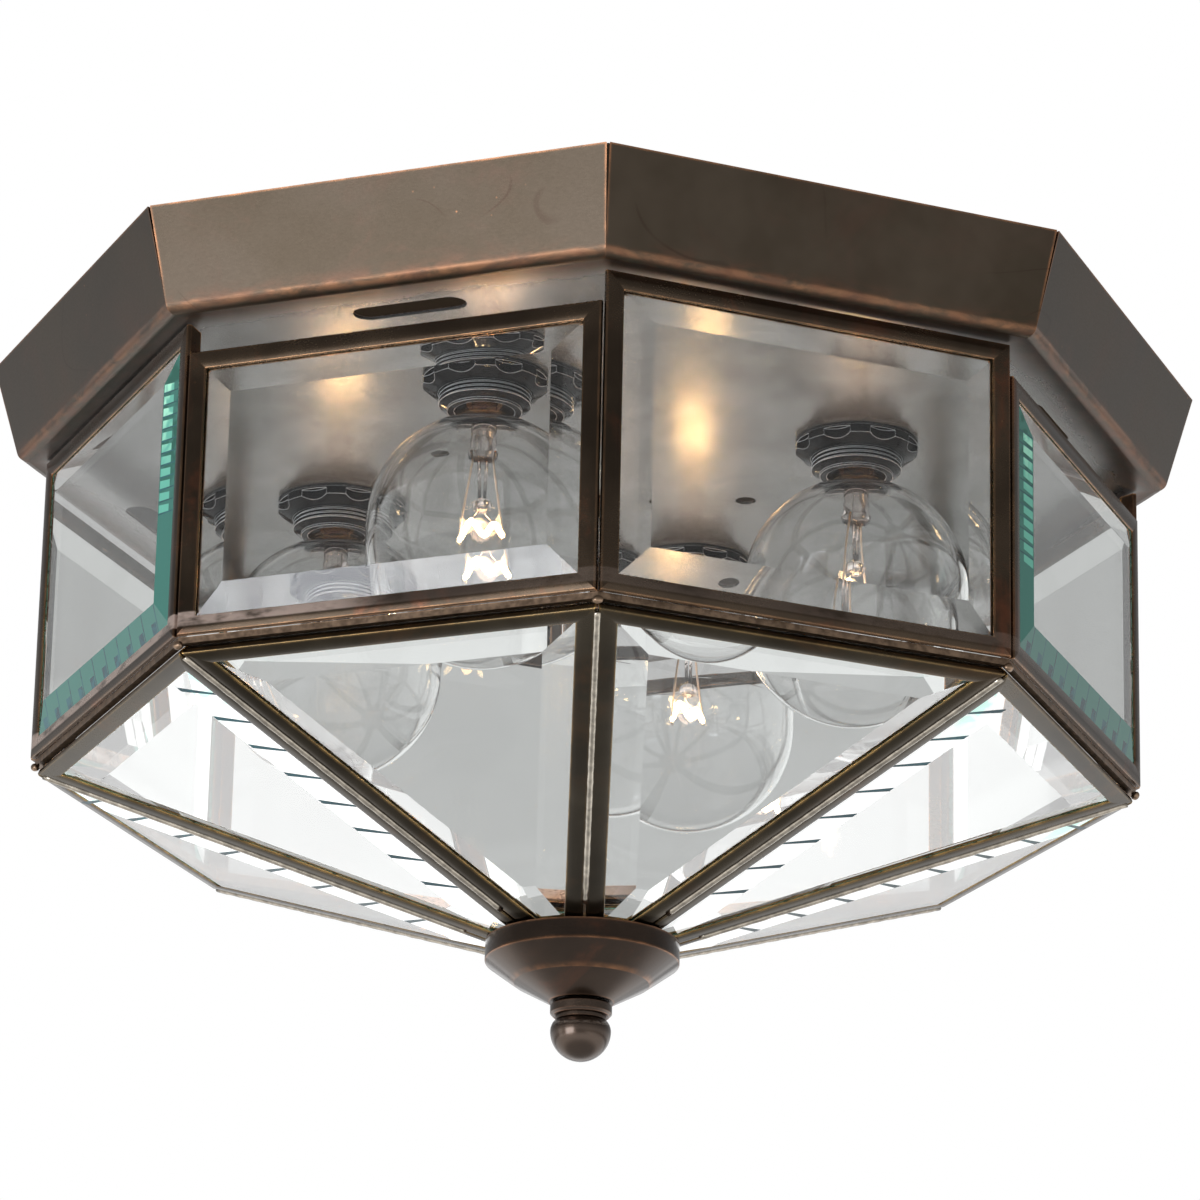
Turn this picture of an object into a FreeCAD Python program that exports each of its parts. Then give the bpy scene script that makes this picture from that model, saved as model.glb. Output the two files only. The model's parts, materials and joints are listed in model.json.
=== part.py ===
import FreeCAD, Part
import math
import os

import Sketcher
from FreeCAD import Placement, Rotation, Vector

# Flush mount ceiling light with an octagonal bevelled glass cage.
#
# Millimetres. +Z points up to the ceiling. The origin is the centre of the ceiling plane, which
# the rim of the pan touches, so the whole light hangs below it. The short glass panels face -Y,
# +X, +Y and -X, and the tall ones face between them.

SIDES = 8
LAMPS = 4
SIDE_ANGLE = 360.0 / SIDES
LAMP_ANGLE = 360.0 / LAMPS
FIRST_SIDE = -90.0
HALF_SIDE = math.radians(SIDE_ANGLE / 2)
CORNER_COS = math.cos(HALF_SIDE)
CORNER_TAN = math.tan(HALF_SIDE)
HEX_SIDES = 6
LEVEL_TOLERANCE = 1e-4

# Driving dimensions, all in millimetres
DIMENSIONS = {
    # folded sheet pan
    "rim_radius": 144.5,
    "pan_flare": 7.2,
    "pan_depth": 23.7,
    "sheet": 0.8,
    "fold_radius": 2.8,
    "seam_width": 0.7,
    "vent_inset": 14.85,
    "vent_length": 27.0,
    "vent_width": 7.2,
    "fixing_radius": 39.7,
    "fixing_hole_radius": 2.5,
    # glass cage, upper ring of panels
    "cage_setback": 6.1,
    "cage_gap": 0.5,
    "cage_height": 74.2,
    "short_drop": 7.2,
    "corner_setback": 0.7,
    # channel that holds the glass
    "channel_face": 4.3,
    "channel_deep": 4.0,
    "channel_web": 1.6,
    "front_lip": 0.7,
    "glass_slot": 2.8,
    "back_start": 1.3,
    "crown_rise": 0.2,
    "edge_round": 0.4,
    # bevelled glass
    "glass_thick": 4.2,
    "glass_edge": 2.6,
    "bevel_width": 6.8,
    "bevel_narrow": 1.6,
    "glass_clearance": 0.1,
    # lower ring of panels
    "lower_setback": 2.1,
    "waist_groove": 3.9,
    "lower_drop": 39.5,
    "tip_radius": 15.4,
    "hip_setback": 0.4,
    # solder ring between the two rings of panels
    "waist_ring_setback": 1.6,
    "waist_ring_wall": 1.9,
    "waist_ring_height": 1.5,
    "solder_gap": 0.1,
    # cap, hub and finial
    "cap_reach": 7.3,
    "cap_cover": 1.9,
    "cap_rim": 4.7,
    "cap_step_in": 6.9,
    "cap_step": 5.1,
    "cap_end_in": 8.2,
    "cap_end": 4.5,
    "cap_wall": 1.0,
    "hub_wall": 6.4,
    "hub_flange": 2.0,
    "hub_rise": 6.6,
    "hub_fit": 0.1,
    "finial_gap": 0.3,
    "finial_collar_radius": 7.2,
    "finial_collar": 3.0,
    "finial_groove_radius": 5.9,
    "finial_groove": 1.0,
    "finial_ball_radius": 7.05,
    "finial_shoulder": 2.6,
    "finial_bore": 9.6,
    "finial_chamfer": 0.6,
    # hanging rod, strap and nuts
    "rod_radius": 3.175,
    "rod_clearance": 0.35,
    "rod_end_gap": 0.5,
    "thread_fit": 0.06,
    "strap_margin": 9.5,
    "strap_width": 16.0,
    "strap_thick": 2.0,
    "box_spacing": 88.9,
    "box_slot_length": 14.0,
    "box_slot_radius": 2.3,
    "nut_radius": 8.0,
    "nut_height": 4.6,
    "nut_chamfer": 0.7,
    "washer_radius": 8.6,
    "washer_thick": 1.0,
    "ground_place": 24.0,
    "ground_radius": 2.0,
    "ground_head_radius": 4.0,
    "ground_head": 2.2,
    # lamp holders
    "socket_radius": 66.0,
    "holder_play": 0.35,
    "mouth_wall": 1.65,
    "mouth_depth": 8.4,
    "mouth_lip": 1.1,
    "barrel_wall": 2.0,
    "thread_depth": 0.7,
    "thread_pitch": 1.0,
    "holder_flange_width": 2.6,
    "holder_flange": 1.2,
    "holder_back_width": 0.4,
    "holder_head": 1.8,
    "holder_roof": 2.6,
    "ring_width": 3.8,
    "ring_straight": 2.4,
    "ring_end_width": 0.6,
    "ring_height": 4.2,
    "ring_clearance": 0.15,
    "ring_shelf": 0.9,
    "flute_radius": 5.2,
    "flute_depth": 1.5,
    # lamps
    "globe_radius": 26.3,
    "globe_low": 40.7,
    "globe_high": 36.4,
    "globe_wall": 0.7,
    "neck_step": 0.6,
    "neck_round": 3.4,
    "tenon_step": 0.6,
    "neck_top": 1.0,
    "base_crest": 6.1,
    "base_thread": 0.5,
    "base_pitch": 2.54,
    "base_mouth": 6.9,
    "base_thread_top": 3.26,
    "cement": 0.1,
    "base_tip": 8.8,
    "insulator_radius": 3.4,
    "insulator_height": 3.2,
    "eyelet_radius": 2.1,
    "eyelet_height": 1.1,
    "screw_fit": 0.08,
    "shell_wall": 0.42,
    "shell_setback": 0.1,
    "contact_radius": 2.6,
    "contact_thick": 0.5,
    "contact_gap": 0.3,
    "stem_flare": 4.2,
    "stem_radius": 2.3,
    "stem_end": 17.0,
    "press_radius": 1.5,
    "bead_depth": 30.6,
    "bead_radius": 1.7,
    "support_radius": 0.7,
    "wire_radius": 0.3,
    "wire_start": 1.4,
    "filament_half": 5.2,
    "filament_depth": 38.5,
    # leads and wire connectors
    "lead_radius": 0.75,
    "lead_bend": 4.0,
    "lead_rise": 2.3,
    "lead_step": 2.4,
    "lead_gap": 0.25,
    "lead_spot": 1.7,
    "lead_entry": 2.0,
    "connector_place": 15.0,
    "connector_radius": 4.7,
    "connector_end_radius": 3.1,
    "connector_length": 9.4,
    "connector_bore": 2.7,
    "connector_bore_depth": 5.6,
    # how far a cut runs past what it cuts
    "overrun": 5.0,
}

FLUTES = 8
BASE_RINGS = 3
HOLDER_RINGS = 3
FIXING_ANGLE = 45.0
CONNECTOR_ANGLES = (-45.0, 135.0)
FILAMENT_TURNS = (28.0, 74.0, 60.0, 15.0)


class Size:
    """A length that knows its number and the sheet formula that gives it."""

    def __init__(self, number, formula):
        self.number = float(number)
        self.formula = formula

    def joined(self, sign, other, number):
        return Size(number, "(%s %s %s)" % (self.formula, sign, other.formula))

    def __add__(self, other):
        other = as_size(other)
        return self.joined("+", other, self.number + other.number)

    def __radd__(self, other):
        return as_size(other) + self

    def __sub__(self, other):
        other = as_size(other)
        return self.joined("-", other, self.number - other.number)

    def __rsub__(self, other):
        return as_size(other) - self

    def __mul__(self, other):
        other = as_size(other)
        return self.joined("*", other, self.number * other.number)

    def __rmul__(self, other):
        return as_size(other) * self

    def __truediv__(self, other):
        other = as_size(other)
        return self.joined("/", other, self.number / other.number)

    def __neg__(self):
        return Size(-self.number, "(0 - %s)" % self.formula)

    def root(self):
        return Size(math.sqrt(self.number), "sqrt(%s)" % self.formula)


def as_size(value):
    return value if isinstance(value, Size) else Size(value, repr(float(value)))


def number(value):
    return value.number if isinstance(value, Size) else float(value)


def hypotenuse(one, two):
    return (one * one + two * two).root()


doc = FreeCAD.newDocument("ceiling_light")
sheet = doc.addObject("Spreadsheet::Sheet", "Sizes")
for row, (alias, value) in enumerate(DIMENSIONS.items(), start=1):
    sheet.set("A%d" % row, alias)
    sheet.set("B%d" % row, str(value))
    sheet.setAlias("B%d" % row, alias)
doc.recompute()


class Sizes:
    """Reads a cell of the sheet by its alias."""

    def __getattr__(self, alias):
        return Size(sheet.get(alias), "Sizes." + alias)


S = Sizes()


# Helpers for sketches and bodies

def origin_plane(body, role):
    return [part for part in body.Origin.OriginFeatures if part.Role == role][0]


def new_body(label):
    body = doc.addObject("PartDesign::Body", label)
    body.Label = label
    body.AllowCompound = True
    return body


def new_sketch(body, name, role, rise=None, turn=None):
    """Attach a sketch to an origin plane, raised along its normal or turned about its upright."""
    sketch = body.newObject("Sketcher::SketchObject", name)
    sketch.AttachmentSupport = (origin_plane(body, role), [""])
    sketch.MapMode = "FlatFace"
    if turn is not None:
        sketch.AttachmentOffset = Placement(Vector(), Rotation(Vector(0, 1, 0), turn))
    if rise is not None:
        sketch.setExpression("AttachmentOffset.Base.z", rise.formula)
        sketch.AttachmentOffset.Base.z = rise.number
    return sketch


def flat(point):
    return Vector(number(point[0]), number(point[1]), 0)


def pin_point(sketch, item, spot, point):
    """Hold a point of a sketch at a place given by two sizes."""
    for axis, kind, value in ((-2, "DistanceX", point[0]), (-1, "DistanceY", point[1])):
        if isinstance(value, Size):
            pin_distance(sketch, item, spot, kind, value)
        else:
            sketch.addConstraint(Sketcher.Constraint("PointOnObject", item, spot, axis))


def pin_distance(sketch, item, spot, kind, value):
    index = sketch.addConstraint(Sketcher.Constraint(kind, -1, 1, item, spot, value.number))
    sketch.setExpression("Constraints[%d]" % index, value.formula)


def arc_between(start, end, centre, turn):
    """An arc from start to end about centre, and which of its ends is the start."""
    first = math.atan2(start.y - centre.y, start.x - centre.x)
    last = math.atan2(end.y - centre.y, end.x - centre.x)
    circle = Part.Circle(centre, Vector(0, 0, 1), start.distanceToPoint(centre))
    if turn > 0:
        return Part.ArcOfCircle(circle, first, last), (1, 2)
    return Part.ArcOfCircle(circle, last, first), (2, 1)


def pin_centre(sketch, item, start, end, centre):
    """Two held ends leave an arc one freedom, which one coordinate of its centre takes away."""
    upright = abs(end.y - start.y) > abs(end.x - start.x)
    value = centre[0] if upright else centre[1]
    kind, axis = ("DistanceX", -2) if upright else ("DistanceY", -1)
    if isinstance(value, Size):
        pin_distance(sketch, item, 3, kind, value)
    else:
        sketch.addConstraint(Sketcher.Constraint("PointOnObject", item, 3, axis))


def outline(sketch, points):
    """Draw a closed outline.

    A point is (x, y), followed by a straight run, or (x, y, centre, turn), followed by an arc
    about centre that turns left for 1 and right for -1.
    """
    count = len(points)
    first = sketch.GeometryCount
    ends = []
    for index, point in enumerate(points):
        start, end = flat(point), flat(points[(index + 1) % count])
        if len(point) == 2:
            sketch.addGeometry(Part.LineSegment(start, end), False)
            ends.append((1, 2))
        else:
            arc, spots = arc_between(start, end, flat(point[2]), point[3])
            sketch.addGeometry(arc, False)
            ends.append(spots)
    for index in range(count):
        after = (index + 1) % count
        sketch.addConstraint(Sketcher.Constraint(
            "Coincident", first + index, ends[index][1], first + after, ends[after][0]))
    for index, point in enumerate(points):
        pin_point(sketch, first + index, ends[index][0], point[:2])
        if len(point) > 2:
            start, end = flat(point), flat(points[(index + 1) % count])
            pin_centre(sketch, first + index, start, end, point[2])
    return sketch


def circle(sketch, centre, radius):
    item = sketch.addGeometry(Part.Circle(flat(centre), Vector(0, 0, 1), radius.number), False)
    pin_point(sketch, item, 3, centre)
    index = sketch.addConstraint(Sketcher.Constraint("Radius", item, radius.number))
    sketch.setExpression("Constraints[%d]" % index, radius.formula)


def pad(body, sketch, length, name="pad"):
    feature = body.newObject("PartDesign::Pad", name)
    feature.Profile = sketch
    feature.setExpression("Length", length.formula)
    return feature


def pocket(body, sketch, length, name, both_ways=True):
    feature = body.newObject("PartDesign::Pocket", name)
    feature.Profile = sketch
    feature.setExpression("Length", length.formula)
    feature.Midplane = both_ways
    return feature


def revolve(body, sketch):
    feature = body.newObject("PartDesign::Revolution", "turned")
    feature.Profile = sketch
    feature.ReferenceAxis = (sketch, ["V_Axis"])
    feature.Angle = 360.0
    return feature


def loft(body, kind, first, second, name):
    feature = body.newObject("PartDesign::" + kind, name)
    feature.Profile = first
    feature.Sections = [second]
    feature.Ruled = True
    return feature


def polar(body, feature, count, span):
    """Repeat a feature about Z."""
    pattern = body.newObject("PartDesign::PolarPattern", "pattern")
    pattern.Originals = [feature]
    pattern.Axis = (origin_axis(body), [""])
    pattern.Angle = span
    pattern.Occurrences = count
    body.Tip = pattern
    return pattern


def origin_axis(body):
    return [part for part in body.Origin.OriginFeatures if part.Role == "Z_Axis"][0]


def turned_body(label, points):
    """A body turned about Z from a profile of radius and height."""
    body = new_body(label)
    revolve(body, outline(new_sketch(body, "profile", "XZ_Plane"), points))
    return body


def set_down(body, place, rotation=None):
    """Put a body at a place given by three sizes."""
    base = Vector(*(number(value) for value in place))
    body.Placement = Placement(base, rotation or Rotation())
    for axis, value in zip("xyz", place):
        if isinstance(value, Size):
            body.setExpression("Placement.Base." + axis, value.formula)
    return body


def group(label, members):
    """One node made of several separate solids."""
    compound = doc.addObject("Part::Compound", label)
    compound.Label = label
    compound.Links = members
    return compound


def octagon(sketch, radius):
    corners = []
    for side in range(SIDES):
        angle = HALF_SIDE + side * 2 * HALF_SIDE
        corners.append((radius * math.cos(angle), radius * math.sin(angle)))
    return outline(sketch, corners)


def hexagon(sketch, radius):
    step = 2 * math.pi / HEX_SIDES
    corners = []
    for side in range(HEX_SIDES):
        angle = (side + 0.5) * step
        corners.append((radius * math.cos(angle), radius * math.sin(angle)))
    return outline(sketch, corners)


# Places that several pieces share

def base_radius():
    return S.rim_radius - S.pan_flare


def cage_radius():
    return base_radius() - S.cage_setback


def lower_radius():
    return cage_radius() - S.lower_setback


def waist_depth():
    return S.pan_depth + S.cage_gap + S.cage_height


def lower_depth():
    return waist_depth() + S.waist_groove


def tip_depth():
    return lower_depth() + S.lower_drop


def cap_top_depth():
    return tip_depth() - S.cap_cover


def base_root():
    return S.base_crest - S.base_thread


def neck_radius():
    return base_root() + S.neck_step


def tenon_radius():
    return base_root() - S.tenon_step


def shell_radius():
    return S.base_crest + S.screw_fit + S.shell_wall


def holder_bore():
    return shell_radius() + S.holder_play


def mouth_radius():
    return holder_bore() + S.mouth_wall


def barrel_radius():
    return mouth_radius() + S.barrel_wall


def holder_height():
    """From the plate's lower face to the holder's back, with the lamp's tip and contact in it."""
    return S.base_tip + S.holder_head + S.holder_roof


def plate_bottom():
    return -S.pan_depth


def plate_top():
    return -(S.pan_depth - S.sheet)


def lamp_angle(index):
    return FIRST_SIDE + index * LAMP_ANGLE


def lamp_place(index, height):
    angle = math.radians(lamp_angle(index))
    return (S.socket_radius * math.cos(angle), S.socket_radius * math.sin(angle), height)


# Folded pan

def flat_edges(shape, height):
    """Names of the long edges that lie level at a height."""
    names = []
    for index, edge in enumerate(shape.Edges, start=1):
        box = edge.BoundBox
        level = box.ZLength < LEVEL_TOLERANCE and abs(box.ZMin - height) < LEVEL_TOLERANCE
        if level:
            names.append("Edge%d" % index)
    return names


def fold_round(body, height, radius, name):
    """Round the bend between the plate and its flaps."""
    doc.recompute()
    base = body.Tip
    fillet = body.newObject("PartDesign::Fillet", name)
    fillet.Base = (base, flat_edges(base.Shape, height.number))
    fillet.setExpression("Radius", radius.formula)
    return fillet


def ceiling_pan():
    body = new_body("ceiling_pan")
    slope = (S.rim_radius - base_radius()) / S.pan_depth
    face_slope = slope * CORNER_COS
    wall_run = S.sheet * hypotenuse(as_size(1.0), face_slope) / CORNER_COS
    outer = loft(body, "AdditiveLoft",
                 octagon(new_sketch(body, "rim", "XY_Plane"), S.rim_radius),
                 octagon(new_sketch(body, "base", "XY_Plane", plate_bottom()), base_radius()),
                 "outside")
    doc.recompute()
    inner_base = base_radius() + slope * S.sheet - wall_run
    above = slope * S.overrun
    loft(body, "SubtractiveLoft",
         octagon(new_sketch(body, "inner_rim", "XY_Plane", S.overrun),
                 S.rim_radius + above - wall_run),
         octagon(new_sketch(body, "inner_base", "XY_Plane", plate_top()), inner_base),
         "inside")
    fold_round(body, plate_bottom(), S.fold_radius, "outer_bend")
    fold_round(body, plate_top(), S.fold_radius - S.sheet, "inner_bend")
    seams(body)
    plate_holes(body)
    return body


def seams(body):
    """The corners of the flaps are open, wide at the rim and closed at the bend."""
    doc.recompute()
    top = S.seam_width / 2
    low = -(S.pan_depth - S.fold_radius)
    sketch = new_sketch(body, "seam", "XZ_Plane", turn=SIDE_ANGLE / 2)
    widening = top * (S.overrun / (S.pan_depth - S.fold_radius))
    outline(sketch, [(0, low), (top + widening, S.overrun), (-(top + widening), S.overrun)])
    cut = pocket(body, sketch, (S.rim_radius + S.overrun) * 2, "seam_cut")
    half = SIDES // 2
    polar(body, cut, half, SIDE_ANGLE * (half - 1))


def plate_holes(body):
    doc.recompute()
    sketch = new_sketch(body, "lamp_holes", "XY_Plane", plate_bottom())
    circle(sketch, (0, -S.socket_radius), barrel_radius() + S.ring_clearance)
    half = (S.vent_length - S.vent_width) / 2
    ease = S.vent_width / 2
    middle = S.vent_inset - base_radius() * CORNER_COS
    near, far = middle + ease, middle - ease
    outline(sketch, [(-half, far), (half, far, (half, middle), 1), (half, near),
                     (-half, near, (-half, middle), 1)])
    cut = pocket(body, sketch, S.sheet + S.overrun, "lamp_cut")
    polar(body, cut, LAMPS, 360.0)
    doc.recompute()
    sketch = new_sketch(body, "centre_holes", "XY_Plane", plate_bottom())
    circle(sketch, (0, 0), S.rod_radius + S.rod_clearance)
    share = math.cos(math.radians(FIXING_ANGLE))
    circle(sketch, (S.fixing_radius * share, S.fixing_radius * share), S.fixing_hole_radius)
    circle(sketch, (-S.fixing_radius * share, -S.fixing_radius * share), S.fixing_hole_radius)
    pocket(body, sketch, S.sheet + S.overrun, "centre_cut")


# Glass cage panels. A panel is drawn upright, facing -Y, with its top outer edge on the X axis.

def channel_profile(body):
    """Section of the channel at the top rail: y runs into the cage and z up to the outer edge."""
    face, deep, ease, rise = S.channel_face, S.channel_deep, S.edge_round, S.crown_rise
    lip, slot, web = S.front_lip, S.glass_slot, S.channel_web
    chamfer = (deep - S.back_start) * CORNER_TAN
    sagitta = (face - ease * 2) / 2
    crown = (sagitta * sagitta + rise * rise) / (rise * 2)
    middle = -(face / 2)
    sketch = new_sketch(body, "section", "YZ_Plane")
    return outline(sketch, [
        (rise + ease, 0, (rise + ease, -ease), 1),
        (rise, -ease, (crown, middle), 1),
        (rise, -(face - ease), (rise + ease, -(face - ease)), 1),
        (rise + ease, -face),
        (lip, -face),
        (lip, -web),
        (lip + slot, -web),
        (lip + slot, -face),
        (deep, -face),
        (deep, -chamfer),
        (S.back_start, 0)])


def frame_body(label, corners):
    """Sweep the channel round the panel, mitred at each corner."""
    body = new_body(label)
    spine = outline(new_sketch(body, "spine", "XZ_Plane"), [(0, 0)] + corners)
    channel = body.newObject("PartDesign::AdditivePipe", "channel")
    channel.Profile = channel_profile(body)
    channel.Spine = (spine, [])
    channel.Transition = "Right corner"
    return body


def glass_body(label, edge, visible, inner):
    """A pane whose border is thin under the lip of its channel and bevelled beyond it."""
    body = new_body(label)
    back = S.front_lip + S.glass_slot - S.glass_clearance
    front = back - S.glass_edge
    pane = outline(new_sketch(body, "pane", "XZ_Plane", -back), edge)
    pad(body, pane, S.glass_edge)
    doc.recompute()
    rise = front - (S.glass_thick - S.glass_edge)
    loft(body, "AdditiveLoft",
         outline(new_sketch(body, "lip_line", "XZ_Plane", -front), visible),
         outline(new_sketch(body, "bevel", "XZ_Plane", -rise), inner),
         "bevel_border")
    return body


def side_half_width():
    return cage_radius() * CORNER_COS * CORNER_TAN - S.corner_setback


def side_top(tall):
    top = -(S.pan_depth + S.cage_gap)
    return top if tall else top - S.short_drop


def glass_insets():
    """How far in from the outside of the channel the pane, its bevel and its flat centre begin."""
    return S.channel_web + S.glass_clearance, S.channel_face, S.channel_face + S.bevel_width


def rectangle(half, top, low):
    return [(half, top), (half, low), (-half, low), (-half, top)]


def side_frame(label, tall):
    height = waist_depth() + side_top(tall)
    half = side_half_width()
    return frame_body(label, [(half, 0), (half, -height), (-half, -height), (-half, 0)])


def side_glass(label, tall):
    height = waist_depth() + side_top(tall)
    half = side_half_width()
    borders = [rectangle(half - inset, -inset, -(height - inset)) for inset in glass_insets()]
    return glass_body(label, *borders)


def stand_side(body, side, tall):
    """Turn an upright panel to its side of the cage."""
    angle = FIRST_SIDE + side * SIDE_ANGLE
    apothem = cage_radius() * CORNER_COS
    share = math.radians(angle)
    place = (apothem * math.cos(share), apothem * math.sin(share), side_top(tall))
    return set_down(body, place, Rotation(Vector(0, 0, 1), angle - FIRST_SIDE))


# Lower panels are upright trapezoids before they are tilted in to the cap.

def lower_run():
    """Level distance and drop of a lower panel, from the waist to its tip."""
    inward = lower_radius() * CORNER_COS - S.tip_radius
    return inward, tip_depth() - lower_depth()


def hip_slope():
    """How much a lower panel's half width shrinks for each unit down its slope."""
    inward, drop = lower_run()
    return inward / hypotenuse(inward, drop) * CORNER_TAN


def trapezoid(inset_side, inset_top, inset_tip):
    """Corners of a lower panel, moved in from its hips, its top edge and its tip."""
    inward, drop = lower_run()
    length = hypotenuse(inward, drop)
    lean = hip_slope()
    aside = inset_side * hypotenuse(as_size(1.0), lean)
    wide = lower_radius() * CORNER_COS * CORNER_TAN
    low = length - inset_tip
    top_half = wide - lean * inset_top - aside
    tip_half = wide - lean * low - aside
    return top_half, inset_top, tip_half, low


def trapezoid_points(shape):
    top_half, top, tip_half, low = shape
    return [(top_half, -top), (tip_half, -low), (-tip_half, -low), (-top_half, -top)]


def lower_frame(label):
    top_half, top, tip_half, low = trapezoid(S.hip_setback, as_size(0.0), as_size(0.0))
    return frame_body(label, [(top_half, 0), (tip_half, -low), (-tip_half, -low), (-top_half, 0)])


def lower_glass(label):
    edge, visible, flat_top = glass_insets()
    half, top, _, _ = trapezoid(S.hip_setback + flat_top, flat_top, as_size(0.0))
    low = top + (half - S.bevel_narrow) / hip_slope()
    borders = [trapezoid(S.hip_setback + inset, inset, inset) for inset in (edge, visible)]
    borders.append((half, top, S.bevel_narrow, low))
    return glass_body(label, *[trapezoid_points(border) for border in borders])


def tilt_lower(body, side):
    """Lean a lower panel in to the cap and turn it to its side."""
    inward, drop = lower_run()
    lean = math.degrees(math.atan2(inward.number, drop.number))
    angle = FIRST_SIDE + side * SIDE_ANGLE
    apothem = lower_radius() * CORNER_COS
    share = math.radians(angle)
    place = (apothem * math.cos(share), apothem * math.sin(share), -lower_depth())
    turn = Rotation(Vector(0, 0, 1), angle - FIRST_SIDE)
    return set_down(body, place, turn.multiply(Rotation(Vector(1, 0, 0), lean)))


def cage_panels():
    nodes = []
    for side in range(SIDES):
        tall = side % 2 == 1
        name = side + 1
        nodes.append(stand_side(side_frame("side_frame_%d" % name, tall), side, tall))
        nodes.append(stand_side(side_glass("side_glass_%d" % name, tall), side, tall))
        nodes.append(tilt_lower(lower_frame("lower_frame_%d" % name), side))
        nodes.append(tilt_lower(lower_glass("lower_glass_%d" % name), side))
    return nodes


def waist_ring():
    """Solder that joins the upper ring of panels to the lower one, deep in their groove."""
    body = new_body("waist_ring")
    radius = cage_radius() - S.waist_ring_setback
    low = -(waist_depth() + S.solder_gap + S.waist_ring_height)
    sketch = octagon(new_sketch(body, "ring", "XY_Plane", low), radius)
    octagon(sketch, radius - S.waist_ring_wall)
    pad(body, sketch, S.waist_ring_height)
    return body


# Cap, hub and finial at the bottom of the cage

def bottom_cap():
    top, wall = -cap_top_depth(), S.cap_wall
    rim = top - S.cap_rim
    step = rim - S.cap_step
    end = step - S.cap_end
    hole = S.rod_radius + S.rod_clearance
    wide = S.tip_radius + S.cap_reach
    middle = wide - S.cap_step_in
    narrow = middle - S.cap_end_in
    return turned_body("bottom_cap", [
        (wide, top), (wide - wall, top), (wide - wall, rim), (middle - wall, step),
        (narrow - wall, end + wall), (hole, end + wall), (hole, end), (narrow, end),
        (middle, step), (wide, rim)])


def cap_end_height():
    return -(cap_top_depth() + S.cap_rim + S.cap_step + S.cap_end)


def cap_hub():
    """Turned hub that the tips of the lower panels are soldered round."""
    foot = -(cap_top_depth() + S.cap_rim)
    hole = S.rod_radius + S.rod_clearance
    inward, drop = lower_run()
    length = hypotenuse(inward, drop)
    tip = S.tip_radius - S.hub_fit
    seat = -(tip_depth() + S.hub_fit)
    back = tip - S.channel_deep * (drop / length)
    shoulder = seat + S.channel_deep * (inward / length)
    flange, neck, top = S.tip_radius + S.hub_flange, hole + S.hub_wall, seat + S.hub_rise
    return turned_body("cap_hub", [
        (hole, foot), (flange, foot), (flange, seat), (tip, seat), (back, shoulder),
        (neck, shoulder), (neck, top), (hole, top)])


def finial():
    top = cap_end_height() - S.finial_gap
    bevel = S.finial_chamfer
    collar_end = top - S.finial_collar
    groove_end = collar_end - S.finial_groove
    equator = groove_end - S.finial_shoulder
    bore = S.rod_radius + S.thread_fit
    wide, ball = S.finial_collar_radius, S.finial_ball_radius
    shoulder = (S.finial_shoulder * S.finial_shoulder
                + (ball - S.finial_groove_radius) * (ball - S.finial_groove_radius))
    round_radius = shoulder / ((ball - S.finial_groove_radius) * 2)
    return turned_body("finial", [
        (bore, top), (bore, top - S.finial_bore), (0, top - S.finial_bore),
        (0, equator - ball, (0, equator), 1), (ball, equator, (ball - round_radius, equator), 1),
        (S.finial_groove_radius, groove_end), (S.finial_groove_radius, collar_end + bevel),
        (wide - bevel, collar_end), (wide, collar_end + bevel), (wide, top - bevel),
        (wide - bevel, top)])


# Rod, strap and fasteners

def rod_end():
    return cap_end_height() - S.finial_gap - S.finial_bore + S.rod_end_gap


def centre_rod():
    bevel = S.nut_chamfer
    low = rod_end()
    radius = S.rod_radius
    return turned_body("centre_rod", [
        (0, 0), (0, low), (radius - bevel, low), (radius, low + bevel), (radius, -bevel),
        (radius - bevel, 0)])


def hex_nut(label, low):
    """A hexagonal nut with its corners turned off on both faces."""
    body = new_body(label)
    sketch = new_sketch(body, "hexagon", "XY_Plane", low)
    hexagon(sketch, S.nut_radius)
    circle(sketch, (0, 0), S.rod_radius + S.thread_fit)
    pad(body, sketch, S.nut_height)
    doc.recompute()
    wide, ease, high = S.nut_radius, S.nut_chamfer, low + S.nut_height
    across = wide * math.cos(math.pi / HEX_SIDES)
    edge = wide + S.overrun
    sketch = new_sketch(body, "corners", "XZ_Plane")
    outline(sketch, [(across, high), (wide, high - ease), (edge, high - ease), (edge, high)])
    outline(sketch, [(across, low), (edge, low), (edge, low + ease), (wide, low + ease)])
    groove = body.newObject("PartDesign::Groove", "corner_cut")
    groove.Profile = sketch
    groove.ReferenceAxis = (sketch, ["V_Axis"])
    groove.Angle = 360.0
    return body


def washer():
    top = plate_bottom()
    bore = S.rod_radius + S.thread_fit
    return turned_body("rod_washer", [
        (bore, top), (bore, top - S.washer_thick), (S.washer_radius, top - S.washer_thick),
        (S.washer_radius, top)])


def fasteners():
    """One nut locks the rod under the strap and one, on its washer, clamps the pan."""
    upper = hex_nut("strap_nut", -(S.strap_thick + S.nut_height))
    lower = hex_nut("pan_nut", plate_bottom() - S.washer_thick - S.nut_height)
    return group("fasteners", [upper, washer(), lower, ground_screw()])


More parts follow.
